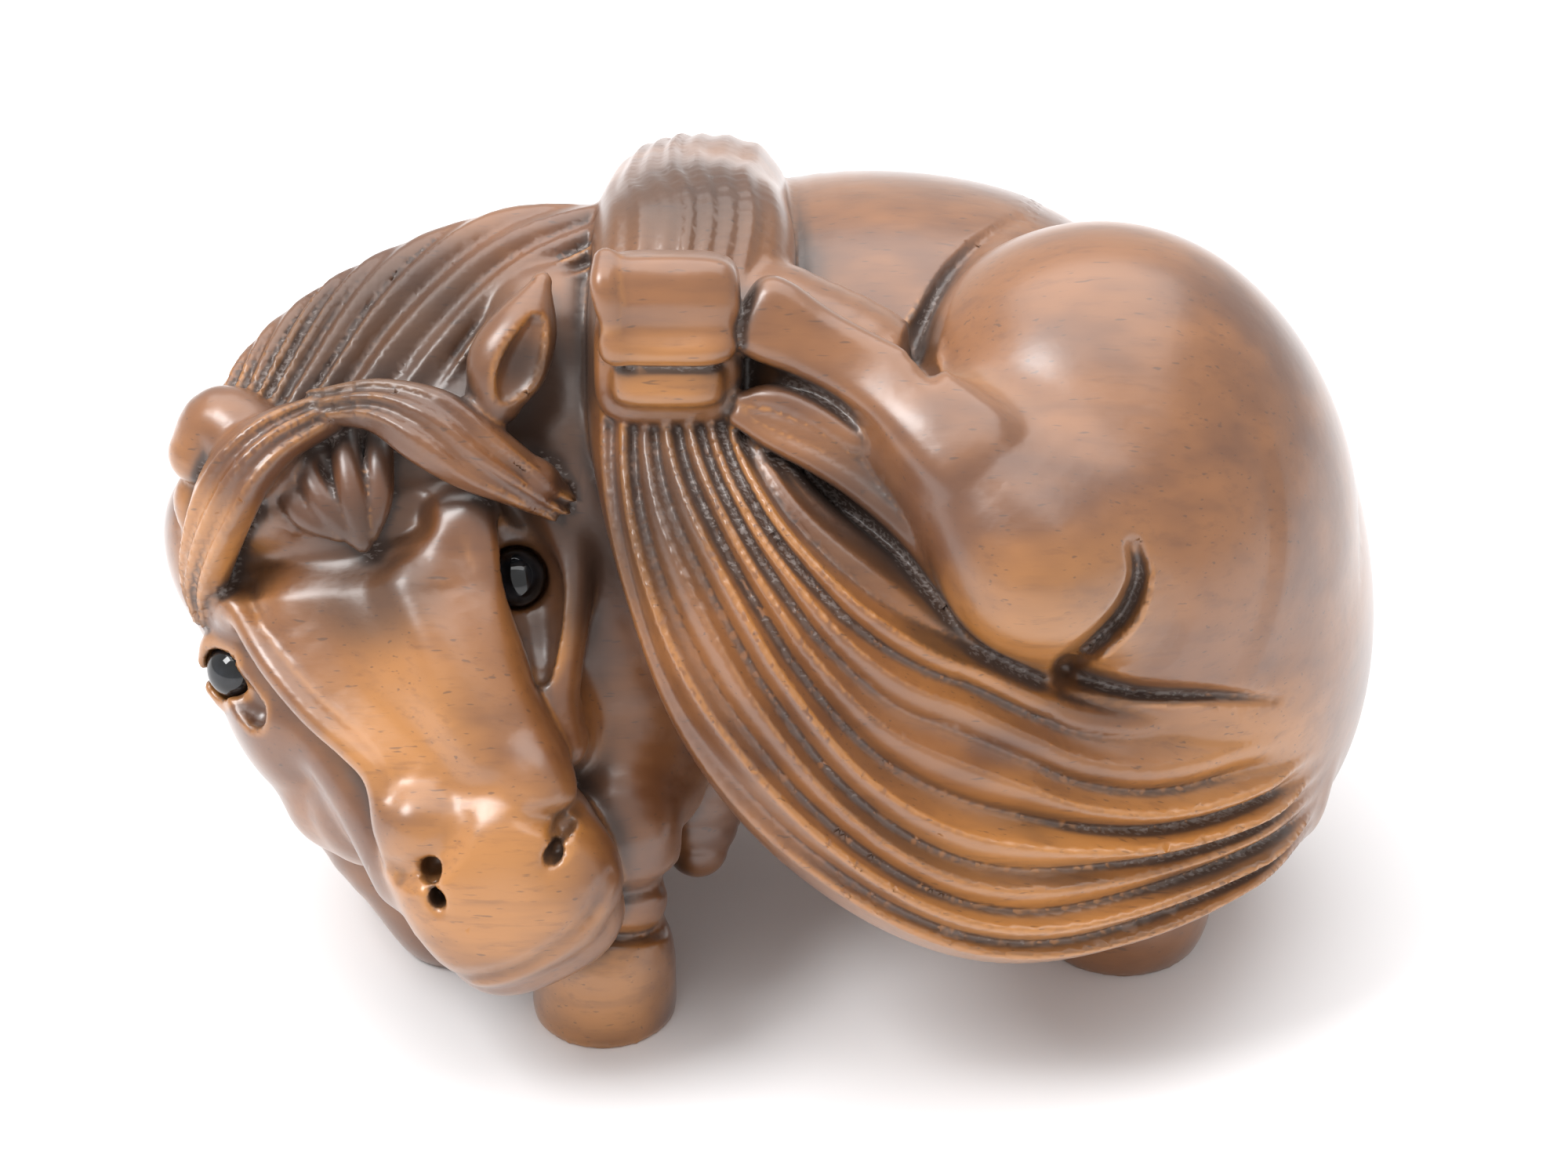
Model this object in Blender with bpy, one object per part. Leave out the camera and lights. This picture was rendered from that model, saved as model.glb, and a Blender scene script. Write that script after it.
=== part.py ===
"""Netsuke of stained boxwood: a stocky horse, curled up, that scratches behind its ear with a hind hoof.

The horse is one carved piece. It stands on the low stumps of its legs and looks down to its right.
Its left hind leg is raised beside the neck, and its tail sweeps forward under the leg and up behind
the hoof. Two round beads are let into its eye sockets.

The carving is a free form. It is described as a solid built up from balls, tapered tubes and flat
straps that run into each other with soft creases, and from hollows cut into them. Each function
below gives, for a whole array of points, how far they lie outside such a form (negative inside).
The surface where that distance is zero is then meshed. The drawing of the horse is in millimetres
of the real piece, and HORSE_LENGTH sets its size.

Frame: metres, +Z up, the viewer at -Y, the horse's head at -X. It stands on z = 0.
"""
import itertools
import math

import bmesh
import bpy
import numpy as np

# Driving sizes, in metres
HORSE_LENGTH = 0.0467        # from the lock over the right brow to the rump
EYE_DIAMETER = 0.0022        # round bead let into each socket
EYE_GAP = 0.0003             # between a bead and the wood around it
NOSTRIL_DIAMETER = 0.0008    # drilled holes
CUTTER_DEPTH = 0.004         # how far the cutter under the feet reaches down

# Carved patterns, as counts across the form
TAIL_LOCKS = 5
MANE_LOCKS = 5
FORELOCK_FACETS = 4

# Mesh of the carving
CELL = 0.42                  # edge of a cell in the drawing's millimetres
TRIANGLES = 7600             # what is left of the carving's mesh after it is thinned out

DRAWING_LENGTH = 46.7        # the horse's length in its own drawing
DRAWING_MIDDLE = np.array([-0.33, 0.6, 0.0])     # the place in the drawing that becomes the origin
UNIT = HORSE_LENGTH / DRAWING_LENGTH
FAR = 4.0                    # distance given to points that no form is near
LOW = np.array([-25.5, -20.5, -1.5])
HIGH = np.array([25.5, 20.5, 34.5])

# The head has its own axes: across it, along the face to the muzzle, and out of the face
HEAD_PLACE = np.array([-15.6, -8.5, 17.3])
MUZZLE_WAY = np.array([0.403, -0.608, -0.684])
FACE_WAY = np.array([-0.225, -0.791, 0.569])
ACROSS_WAY = np.cross(MUZZLE_WAY, FACE_WAY) * -1
HEAD_AXES = (ACROSS_WAY, MUZZLE_WAY, FACE_WAY)

# Eye beads, as places on the head: across, along the face, out of the face
EYE_LEFT_PLACE = (5.55, 0.30, -2.45)
EYE_RIGHT_PLACE = (-5.90, -1.20, -2.50)


def unit(way):
    """The same direction with a length of one."""
    way = np.asarray(way, float)
    return way / np.linalg.norm(way)


def on_head(across, along, out):
    """A place given in the head's own axes."""
    return tuple(HEAD_PLACE + across * ACROSS_WAY + along * MUZZLE_WAY + out * FACE_WAY)


# Joining and cutting

def blend(first, second, softness):
    """The union of two forms, with a crease as soft as the given width."""
    overlap = np.maximum(softness - np.abs(first - second), 0.0) / softness
    return np.minimum(first, second) - overlap * overlap * softness * 0.25


def smooth_path(rows, steps=5):
    """A smooth curve through the rows (Catmull and Rom's), with every column carried along."""
    rows = np.asarray(rows, float)
    ends = np.vstack([2 * rows[0] - rows[1], rows, 2 * rows[-1] - rows[-2]])
    t = np.linspace(0, 1, steps, endpoint=False)[:, None]
    pieces = []
    for a, b, c, d in zip(ends[:-3], ends[1:-2], ends[2:-1], ends[3:]):
        bend = (2 * a - 5 * b + 4 * c - d) * t**2 + (3 * b - a - 3 * c + d) * t**3
        pieces.append(0.5 * (2 * b + (c - a) * t + bend))
    return np.vstack(pieces + [rows[-1:]])


class Form:
    """A form's box and its distance function."""

    def __init__(self, low, high, distance):
        self.low = low
        self.high = high
        self.distance = distance


def ball(centre, radii, axes=None):
    """An ellipsoid, with its three radii along the axes."""
    centre = np.asarray(centre, float)
    radii = np.asarray(radii, float) * np.ones(3)
    turn = np.eye(3) if axes is None else np.array([unit(axis) for axis in axes])
    reach = np.sqrt(((turn * radii[:, None]) ** 2).sum(0))

    def distance(points):
        q = (points - centre) @ turn.T
        level = np.sqrt(((q / radii) ** 2).sum(1))
        slope = np.sqrt(((q / radii**2) ** 2).sum(1)) + 1e-9
        return level * (level - 1) / slope
    return Form(centre - reach, centre + reach, distance)


def tube(rows):
    """A round tube along the smooth path of rows (x, y, z, radius)."""
    path = smooth_path(rows)
    low = (path[:, :3] - path[:, 3:]).min(0)
    high = (path[:, :3] + path[:, 3:]).max(0)

    def distance(points):
        best = np.full(len(points), 1e9)
        for a, b in zip(path[:-1], path[1:]):
            step = b[:3] - a[:3]
            q = points - a[:3]
            t = np.clip(q @ step / (step @ step), 0, 1)
            here = np.sqrt(((q - t[:, None] * step) ** 2).sum(1)) - a[3] - t * (b[3] - a[3])
            np.minimum(best, here, out=best)
        return best
    return Form(low, high, distance)


def along_path(points, path, faces):
    """For each point, its nearest place on the path: share of the length, across, out, past the
    ends, and the path's half width and half thickness there."""
    count = len(path) - 1
    way = np.gradient(path[:, :3], axis=0)
    way /= np.linalg.norm(way, axis=1)[:, None]
    out = faces - (faces * way).sum(1)[:, None] * way
    out /= np.linalg.norm(out, axis=1)[:, None]
    side = np.cross(way, out)
    best = np.full(len(points), 1e9)
    found = np.zeros((len(points), 6))
    for i in range(count):
        step = path[i + 1, :3] - path[i, :3]
        q = points - path[i, :3]
        t = np.clip(q @ step / (step @ step), 0, 1)
        rest = q - t[:, None] * step
        near = (rest**2).sum(1)
        nearer = near < best
        best[nearer] = near[nearer]
        t = t[nearer]
        rest = rest[nearer]
        between = [a[i] + t[:, None] * (a[i + 1] - a[i]) for a in (side, out, way)]
        found[nearer, 0] = (i + t) / count
        for column, axis in enumerate(between):
            found[nearer, 1 + column] = (rest * axis).sum(1)
        found[nearer, 4] = path[i, 3] + t * (path[i + 1, 3] - path[i, 3])
        found[nearer, 5] = path[i, 4] + t * (path[i + 1, 4] - path[i, 4])
    return found


def strap(rows, relief=None, squareness=2.0):
    """A flat tube: rows are (x, y, z, half width, half thickness, way it faces as x, y, z).

    The section is a superellipse, and relief(share of length, share of half width) raises or
    sinks the side that faces out."""
    path = smooth_path(rows)
    faces = path[:, 5:8]
    reach = path[:, 3:5].max(1)[:, None]
    low = (path[:, :3] - reach).min(0)
    high = (path[:, :3] + reach).max(0)

    def distance(points):
        share, across, out, past, width, thick = along_path(points, path, faces).T
        if relief is not None:
            thick = thick + relief(share, across / width) * (out > -thick)
        terms = [np.abs(across / width), np.abs(out / thick), np.abs(past / thick)]
        sizes = [width, thick, thick]
        level = sum(term**squareness for term in terms) ** (1 / squareness)
        slope = sum(term ** (2 * squareness - 2) / size**2 for term, size in zip(terms, sizes))
        slope = np.sqrt(slope) * np.maximum(level, 1e-6) ** (1 - squareness)
        return (level - 1) / np.maximum(slope, 1e-6)
    return Form(low, high, distance)


class Carving:
    """The distances of a set of points, as forms are added and hollows cut one by one.

    They are right up to the given reach from the surface, and FAR beyond it."""

    def __init__(self, points, reach):
        self.points = points
        self.reach = reach
        self.distances = np.full(len(points), FAR)

    def near(self, form, softness):
        reach = softness + self.reach
        inside = (self.points > form.low - reach) & (self.points < form.high + reach)
        return np.flatnonzero(inside.all(1))

    def add(self, form, softness):
        i = self.near(form, softness)
        self.distances[i] = blend(self.distances[i], form.distance(self.points[i]), softness)

    def cut(self, form, softness):
        i = self.near(form, softness)
        self.distances[i] = -blend(-self.distances[i], form.distance(self.points[i]), softness)


# Hair: a lock rises slowly to its crest and falls off faster into the groove beside it

def lock(position, crest=0.62):
    """0 in the groove and 1 on the crest, repeating at every whole number."""
    t = position - np.floor(position)
    slope = np.where(t < crest, t / crest, (1 - t) / (1 - crest))
    return 0.5 - 0.5 * np.cos(math.pi * slope)


def tail_relief(share, across):
    """Locks along the tail, that fade out at its root on the rump."""
    fade = np.clip(share / 0.13, 0, 1)
    position = across * TAIL_LOCKS / 2 + 0.35 * np.sin(5 * share)
    return 0.7 * fade * (lock(position) - 0.6)


def mane_relief(share, across):
    """Locks that lie slantwise over the crest of the neck."""
    return 0.4 * (lock(across * 1.6 + MANE_LOCKS * share) - 0.5)


def forelock_relief(share, across):
    """Broad facets that run together at the forelock's tip."""
    return 0.35 * (lock(across * FORELOCK_FACETS / 2 + 0.5) - 0.5)


# The horse's parts

def body(clay):
    """Barrel, rump, neck and chest, that hide the far legs."""
    clay.add(strap([
        (-13.0, 4.0, 13.5, 8.5, 7.0, 0, 0, 1),
        (-6.0, 5.0, 14.6, 11.0, 9.0, 0, 0, 1),
        (2.0, 5.5, 15.8, 12.0, 11.4, 0, 0, 1),
        (9.0, 4.5, 15.6, 11.0, 11.0, 0, 0, 1),
        (13.4, 2.5, 14.5, 8.5, 8.8, 0, 0, 1)]), 1.0)
    clay.add(ball((12.0, 0.5, 12.8), (10.0, 10.5, 11.4)), 1.5)
    clay.add(ball((14.6, -0.5, 9.5), (7.9, 8.2, 8.4)), 2.0)
    clay.add(tube([
        (-7, 4.5, 19.0, 7.0),
        (-12, 3.0, 19.8, 6.0),
        (-15.6, -0.5, 19.4, 5.2),
        (-16.0, -4.0, 18.4, 3.4)]), 2.0)
    clay.add(ball((-11.5, -1.0, 21.5), (4.5, 4.0, 4.0)), 1.5)
    clay.add(ball((-18.3, -3.4, 20.2), (3.2, 3.0, 3.6)), 1.5)
    clay.add(tube([(-12, 4, 12, 7.0), (-14, 0, 9, 5.0)]), 2.0)
    clay.add(tube([(-9, 2, 17, 6.0), (-6.5, -3, 13, 5.0), (-5.8, -6.5, 9.5, 2.8)]), 2.0)
    clay.add(tube([
        (-7.8, -3.0, 22.2, 2.6),
        (-7.1, -4.2, 17.4, 2.8),
        (-6.3, -5.4, 12.4, 2.8),
        (-5.7, -6.5, 9.5, 2.4)]), 1.0)
    clay.add(tube([(-8.9, 0.0, 24.9, 3.0), (-7.7, -1.5, 22.7, 3.0)]), 1.0)
    clay.add(tube([(-0.4, -2.6, 26.4, 2.8), (2.9, -4.0, 24.6, 3.3), (5.8, -6.3, 21.6, 3.5)]), 1.0)
    # the belly behind the tail
    clay.add(tube([
        (14.0, -6.0, 8.6, 4.0),
        (8.0, -7.5, 9.6, 4.0),
        (3.5, -7.5, 12.6, 4.0),
        (0.0, -6.3, 16.0, 4.0),
        (-2.5, -4.0, 20.0, 3.5)]), 1.5)


def raised_leg(clay):
    """Haunch, thigh, hock, cannon and pastern of the left hind leg."""
    clay.add(ball((11.8, -2.4, 20.5), (8.7, 8.6, 9.6)), 0.7)
    clay.add(ball((14.8, -2.2, 15.2), (7.1, 8.8, 9.5)), 3.5)
    clay.add(tube([(12.3, -6, 20.2, 6.4), (10.4, -8.8, 21.4, 4.6), (9.0, -11.0, 22.2, 3.1)]), 1.8)
    clay.add(tube([(0.0, -4.0, 22.9, 2.6), (3.5, -5.0, 20.8, 3.0), (6.7, -7.0, 18.6, 3.2)]), 0.8)
    clay.add(tube([(1.0, -5.2, 25.4, 2.2), (4.5, -7.0, 24.2, 2.4), (7.0, -8.6, 22.0, 2.4)]), 0.8)
    clay.add(tube([
        (9.0, -10.8, 22.2, 2.9),
        (7.3, -9.8, 24.3, 2.6),
        (5.7, -8.8, 25.8, 2.0)]), 2.2)
    clay.add(strap([
        (6.2, -9.4, 25.9, 1.9, 1.7, 0.2, -0.8, 0.5),
        (4.5, -8.0, 26.9, 1.6, 1.5, 0.2, -0.8, 0.5),
        (2.8, -6.9, 27.6, 1.35, 1.4, 0.1, -0.8, 0.5),
        (1.1, -6.2, 28.3, 1.35, 1.4, 0.0, -0.8, 0.5),
        (-0.3, -5.9, 29.0, 1.55, 1.4, 0.0, -0.8, 0.5)], squareness=3.6), 0.6)
    # the crease between barrel and haunch, and the fold behind the hock
    clay.cut(tube([(9.0, 5.5, 27.3, 0.4), (6.2, 0.6, 27.6, 0.7), (4.8, -4.3, 27.2, 0.9)]), 0.7)
    clay.cut(tube([(12.6, -12.4, 22.3, 0.4), (12.2, -12.8, 21.1, 0.6), (10.4, -12.7, 18.7, 0.8)]), 0.7)
    # long hair below the pastern
    clay.add(tube([
        (-1.6, -7.5, 26.0, 0.45),
        (-0.4, -8.0, 25.4, 0.5),
        (1.1, -8.6, 24.9, 0.55),
        (2.6, -9.3, 24.2, 0.55),
        (4.4, -10.2, 23.0, 0.6),
        (6.3, -11.0, 20.7, 0.55)]), 0.3)
    clay.add(tube([
        (-1.5, -7.2, 26.5, 0.45),
        (-0.4, -7.3, 26.7, 0.55),
        (1.0, -7.7, 26.3, 0.6),
        (2.6, -8.5, 25.6, 0.55)]), 0.3)


def tail(clay):
    """From the rump forward under the raised leg, up behind the hoof, and over the back."""
    clay.add(strap([
        (19.6, -5.7, 9.6, 3.6, 1.5, 0.5, -1, 0.2),
        (16.6, -9.5, 10.4, 4.3, 1.9, 0.3, -1, 0.2),
        (12.3, -11.8, 10.9, 5.0, 2.2, 0.1, -1, 0.25),
        (7.9, -12.5, 11.8, 5.6, 2.5, 0.0, -1, 0.4),
        (3.7, -12.0, 14.5, 5.7, 2.7, -0.1, -1, 0.5),
        (0.3, -11.0, 18.2, 5.2, 2.7, -0.1, -1, 0.5),
        (-2.3, -8.7, 21.4, 4.0, 2.5, -0.1, -1, 0.5),
        (-3.8, -5.7, 23.9, 3.3, 2.2, 0, -1, 0.5),
        (-3.8, -2.5, 26.4, 3.5, 2.6, 0, -1, 0.5),
        (-3.4, 0.5, 27.8, 3.8, 3.1, 0, -1, 0.7),
        (-3.5, 4.6, 26.4, 3.8, 3.5, 0, 0.2, 1),
        (-3.2, 9.0, 25.3, 3.4, 3.0, 0, 1, 1),
        (-3.0, 12.0, 22.5, 2.8, 2.4, 0, 1, 0.6)], tail_relief, 2.5), 0.4)


def raised_hoof(clay):
    """The hoof in front of the tail: a block, a plate below a groove, and a wall behind both."""
    out = unit((-0.05, -0.93, 0.36))
    up = unit((0.0, 0.36, 0.93))
    for centre, half in (((-4.1, -6.2, 29.8), (2.55, 1.7, 2.0)),
                         ((-4.2, -6.3, 26.8), (2.2, 1.7, 1.1)),
                         ((-4.2, -5.5, 27.3), (2.7, 1.5, 2.4))):
        rows = [tuple(np.array(centre) + (side, 0, 0)) + (half[2], half[1]) + tuple(out) for side in
                (-half[0] + half[1], half[0] - half[1])]
        clay.add(strap(rows, squareness=4.0), 0.25)
    clay.cut(tube([(-6.9, -8.6, 28.0, 0.3), (-1.4, -8.6, 28.0, 0.3)]), 0.2)
    clay.cut(ball((-3.9, -8.0, 33.2), (2.5, 1.6, 1.3), ((1, 0, 0), tuple(out), tuple(up))), 0.4)


def mane(clay):
    """The crest of the neck, from the tail's tip to the right ear."""
    clay.add(strap([
        (-6.0, 1.2, 26.4, 3.4, 1.6, 0, -0.6, 1),
        (-9.5, 1.0, 26.2, 3.6, 1.7, 0, -0.6, 1),
        (-12.5, 0.4, 25.4, 3.7, 1.8, -0.1, -0.6, 1),
        (-15.4, -0.6, 24.4, 3.6, 1.8, -0.1, -0.6, 1),
        (-18.0, -2.0, 23.4, 3.2, 1.6, -0.2, -0.6, 1),
        (-20.0, -3.0, 22.4, 2.2, 1.3, -0.3, -0.6, 1)], mane_relief, 2.4), 0.3)


def head(clay):
    """Skull, face and muzzle, with the ridges of the nose, the brows and the cheeks."""
    face = tuple(FACE_WAY)
    clay.add(ball(on_head(0, -2.2, -4.6), (6.0, 6.0, 4.8), HEAD_AXES), 0.8)
    clay.add(ball(on_head(-4.6, -5.0, -4.4), (2.6, 4.2, 3.8), HEAD_AXES), 1.2)
    clay.add(strap([
        on_head(0.5, -3.8, -3.1) + (4.9, 2.6) + face,
        on_head(0.4, -2.2, -2.1) + (4.5, 2.6) + face,
        on_head(-0.3, -0.4, -1.7) + (3.7, 2.6) + face,
        on_head(0.0, 2.0, -1.5) + (3.0, 2.6) + face,
        on_head(0.5, 4.0, -1.5) + (2.4, 2.6) + face,
        on_head(0.7, 5.5, -1.7) + (2.3, 2.6) + face,
        on_head(0.9, 7.5, -2.1) + (2.6, 2.5) + face,
        on_head(0.9, 9.0, -2.6) + (3.2, 2.4) + face], squareness=3.4), 0.6)
    clay.add(tube([
        on_head(4.0, -1.0, -0.8) + (1.2,),
        on_head(3.8, 1.8, -0.6) + (1.3,),
        on_head(3.5, 4.3, -0.6) + (1.3,),
        on_head(3.6, 6.6, -0.9) + (1.3,)]), 0.9)
    clay.add(tube([
        on_head(-3.9, 1.6, -1.8) + (1.2,),
        on_head(-3.1, 3.9, -1.9) + (1.4,),
        on_head(-2.7, 6.3, -2.0) + (1.5,),
        on_head(-2.6, 8.6, -2.2) + (1.5,)]), 0.9)
    clay.add(ball(on_head(0.4, 10.2, -2.6), (4.1, 4.0, 3.5), HEAD_AXES), 0.8)
    clay.add(ball(on_head(0.4, 12.0, -3.6), (3.6, 2.9, 2.6), HEAD_AXES), 0.3)
    for side in (-1, 1):
        clay.add(ball(on_head(side * 4.7, 0.4, -5.4), (2.9, 4.9, 4.6), HEAD_AXES), 0.8)
        clay.add(ball(on_head(side * 3.9, 5.0, -5.0), (2.3, 2.8, 3.2), HEAD_AXES), 0.6)
    clay.add(ball(on_head(-5.3, 4.3, -5.2), (1.7, 2.2, 2.2), HEAD_AXES), 0.5)
    clay.add(tube([
        on_head(-4.2, -3.0, -0.4) + (0.6,),
        on_head(-3.6, -0.4, 0.5) + (0.6,),
        on_head(-2.8, 2.0, 0.8) + (0.6,),
        on_head(-1.6, 4.8, 0.75) + (0.6,),
        on_head(-2.0, 7.4, 0.1) + (0.6,)]), 0.5)
    clay.add(tube([
        on_head(2.4, -0.4, 0.5) + (0.9,),
        on_head(2.4, 1.6, 0.7) + (0.9,),
        on_head(2.4, 3.9, 0.7) + (0.85,),
        on_head(2.5, 6.0, 0.4) + (0.8,)]), 0.4)
    clay.add(ball(on_head(4.9, -2.2, -0.9), (1.5, 1.3, 1.3), HEAD_AXES), 0.8)
    clay.add(ball(on_head(-4.4, -3.1, -1.6), (1.1, 1.2, 1.4), HEAD_AXES), 0.6)
    clay.add(ball(on_head(-0.9, 7.3, -0.2), (1.6, 1.6, 1.7), HEAD_AXES), 0.5)
    clay.add(ball(on_head(3.7, 7.6, -0.6), (1.4, 1.9, 1.6), HEAD_AXES), 0.5)
    clay.add(ball(on_head(3.7, 11.1, -2.2), (1.2, 1.8, 1.7), HEAD_AXES), 0.7)


def eye_hollows(clay):
    """A shallow hollow around each bead, which leaves the bead's own socket to a round cutter."""
    for place in (EYE_LEFT_PLACE, EYE_RIGHT_PLACE):
        across, along, out = place
        clay.cut(ball(on_head(across * 1.2, along + 0.1, out + 1.1), (1.2, 2.2, 1.6), HEAD_AXES), 0.4)


def mouth_and_nostrils(clay):
    """The line of the mouth around the muzzle, and two drilled holes in each nostril."""
    clay.cut(tube([
        on_head(-3.6, 10.6, -3.6) + (0.3,),
        on_head(-2.4, 13.0, -3.4) + (0.3,),
        on_head(0.5, 14.0, -3.2) + (0.3,),
        on_head(3.2, 13.0, -3.4) + (0.3,),
        on_head(4.4, 10.6, -3.6) + (0.3,)]), 0.3)
    radius = NOSTRIL_DIAMETER / 2 / UNIT
    for across, along, out in ((-1.1, 9.3, 1.0), (-1.3, 10.6, 0.6), (3.8, 10.1, 0.6), (3.1, 10.9, 0.5)):
        clay.cut(tube([on_head(across, along, out + 0.5) + (radius,),
                       on_head(across + 0.2, along - 0.5, out - 1.2) + (radius,)]), 0.15)


def forelock(clay):
    """The fan of hair on the forehead, and the locks that part from it over both brows."""
    face = tuple(FACE_WAY)
    clay.add(strap([
        on_head(0.3, -7.4, -1.5) + (2.6, 0.8) + face,
        on_head(0.0, -5.0, 0.2) + (2.2, 0.9) + face,
        on_head(0.2, -2.9, 1.1) + (1.0, 0.7) + face], forelock_relief), 0.3)
    clay.add(strap([
        (-16.9, -4.8, 24.4, 0.9, 0.9, -0.2, -0.7, 0.7),
        (-19.8, -6.4, 23.2, 1.25, 1.0, -0.5, -0.8, 0.4),
        (-20.6, -6.6, 21.8, 1.3, 1.0, -0.5, -0.8, 0.3),
        (-21.7, -5.7, 17.8, 0.95, 0.9, -0.6, -0.8, 0.2),
        (-21.8, -5.4, 16.2, 0.7, 0.7, -0.6, -0.8, 0.2)], squareness=2.4), 0.3)
    clay.add(strap([
        (-16.9, -4.8, 24.8, 0.8, 0.8, -0.1, -0.7, 0.7),
        (-14.9, -5.4, 25.2, 1.0, 0.9, 0.0, -0.7, 0.7),
        (-13.0, -6.3, 24.9, 1.45, 1.0, 0.1, -0.7, 0.6),
        (-11.4, -6.7, 24.0, 1.4, 1.0, 0.1, -0.8, 0.5),
        (-8.8, -6.4, 22.0, 0.9, 0.9, 0.1, -0.9, 0.4)], squareness=2.4), 0.3)


def ears(clay):
    """The left ear pricked up with its hollow, and the right ear laid back as a rounded lump."""
    clay.add(strap([
        (-10.6, -5.0, 25.4, 1.1, 1.2, 0.2, -0.8, 0.4),
        (-10.1, -4.8, 26.6, 1.5, 1.2, 0.2, -0.8, 0.4),
        (-9.4, -4.0, 27.8, 1.2, 1.0, 0.2, -0.8, 0.4),
        (-8.9, -3.0, 28.9, 0.5, 0.6, 0.2, -0.8, 0.4)]), 0.4)
    clay.cut(tube([(-9.6, -6.9, 26.6, 0.4), (-9.1, -6.2, 27.5, 0.8), (-8.6, -4.8, 28.4, 0.5)]), 0.2)
    clay.add(tube([(-19.3, -4.8, 22.7, 1.7), (-21.0, -3.5, 23.4, 1.5), (-21.5, -4.0, 22.4, 1.2)]), 0.4)


def short_legs(clay):
    """Left foreleg with its hoof, and the far legs, folded with their cannons on the ground."""
    clay.add(tube([(-6.1, -5.0, 11.0, 3.0), (-6.0, -9.0, 8.0, 2.15), (-6.1, -9.6, 6.9, 2.1)]), 0.6)
    clay.add(tube([(-6.1, -9.3, 7.0, 1.75), (-6.3, -9.3, 4.0, 1.75)]), 0.1)
    clay.add(tube([(-6.7, -9.0, 4.2, 1.9), (-6.9, -9.1, 2.6, 2.65), (-7.0, -9.1, 0.6, 2.8)]), 0.15)
    clay.add(tube([(-17.0, 1.5, 9.0, 4.0), (-16.0, -2.5, 5.0, 3.0), (-13.0, -4.8, 2.0, 2.6)]), 1.2)
    clay.add(tube([(-13.0, -4.8, 2.0, 2.6), (-12.6, 0.5, 1.7, 2.4), (-11.0, 6.0, 2.0, 2.4)]), 1.2)
    clay.add(tube([(-3.6, -2.0, 9.0, 3.5), (-3.4, -5.0, 4.6, 1.2)]), 0.6)
    clay.add(tube([(15.0, 0.0, 8.0, 6.0), (13.6, -3.0, 4.0, 4.2), (13.4, -4.2, 1.6, 3.6)]), 1.2)
    clay.add(tube([(13.4, -3.0, 2.2, 3.0), (12.6, 2.0, 1.9, 2.8), (11.0, 7.0, 2.2, 2.8)]), 1.2)


def horse_distance(points, reach):
    """The whole carving."""
    clay = Carving(points, reach)
    for form in (body, raised_leg, tail, raised_hoof, mane, head, eye_hollows,
                 mouth_and_nostrils, forelock, ears, short_legs):
        form(clay)
    return clay.distances


# From the distances to a mesh

def sampled(distance, low, high, step):
    """The distances on a grid, from coarse to fine, worked out only near the surface."""
    cells = np.ceil((high - low) / (4 * step)).astype(int)
    values = None
    for level in (4, 2, 1):
        size = cells * (4 // level) + 1
        if values is None:
            finer = np.zeros(size)
            wanted = np.ones(size, bool)
        else:
            nearest = [np.minimum((np.arange(n) + 1) // 2, m - 1) for n, m in zip(size, values.shape)]
            finer = values[np.ix_(*nearest)]
            wanted = np.abs(finer) < 3.2 * level * step
        places = low + np.argwhere(wanted) * (step * level)
        finer[wanted] = distance(places, 1.8 * level * step)
        values = finer
    return values


def surface_triangles(values, low, step):
    """The surface of zero distance: each cell is parted into six tetrahedra, which always
    gives a closed surface."""
    number = np.arange(values.size).reshape(values.shape)
    flat = values.ravel()
    inside = values < 0
    ends = [slice(0, -1), slice(1, None)]
    count = sum(inside[ends[i], ends[j], ends[k]].astype(int)
                for i, j, k in itertools.product((0, 1), repeat=3))
    cells = np.argwhere((count > 0) & (count < 8))
    edges = []
    flips = []
    for order in itertools.permutations(range(3)):
        corner = np.zeros(3, int)
        corners = [number[tuple(cells.T)]]
        for axis in order:
            corner[axis] = 1
            corners.append(number[tuple((cells + corner).T)])
        tetra = np.stack(corners, 1)
        below = flat[tetra] < 0
        for lone in range(4):
            others = [i for i in range(4) if i != lone]
            alone = (below[:, others] != below[:, [lone]]).all(1)
            t = tetra[alone]
            edges.append(np.stack([np.stack([t[:, lone], t[:, i]], 1) for i in others], 1))
            flips.append(below[alone, lone])
        for a, b in ((0, 1), (0, 2), (0, 3)):
            c, d = [i for i in (1, 2, 3) if i != b]
            paired = (below[:, a] == below[:, b]) & (below[:, c] == below[:, d])
            paired &= below[:, a] != below[:, c]
            t = tetra[paired]
            ring = [np.stack([t[:, i], t[:, j]], 1) for i, j in ((a, c), (a, d), (b, d), (b, c))]
            for corners in ((0, 1, 2), (0, 2, 3)):
                edges.append(np.stack([ring[i] for i in corners], 1))
                flips.append(below[paired, a])
    edges = np.vstack(edges)
    first_inside = np.concatenate(flips)
    keys = np.sort(edges, axis=2)
    keys = keys[:, :, 0].astype(np.int64) * values.size + keys[:, :, 1]
    keys, triangles = np.unique(keys, return_inverse=True)
    triangles = triangles.reshape(-1, 3)
    one, two = keys // values.size, keys % values.size
    share = flat[one] / (flat[one] - flat[two])
    share = np.clip(share, 0.04, 0.96)[:, None]
    place = np.stack(np.unravel_index(one, values.shape), 1) * (1 - share)
    place = place + np.stack(np.unravel_index(two, values.shape), 1) * share
    vertices = place * step + low
    # each triangle looks away from the corner that is inside
    a, b, c = (vertices[triangles[:, i]] for i in range(3))
    start = np.stack(np.unravel_index(edges[:, 0, 0], values.shape), 1) * step + low
    outward = np.where(first_inside[:, None], a - start, start - a)
    backward = (np.cross(b - a, c - a) * outward).sum(1) < 0
    triangles[backward] = triangles[backward][:, ::-1]
    return vertices, triangles


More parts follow.
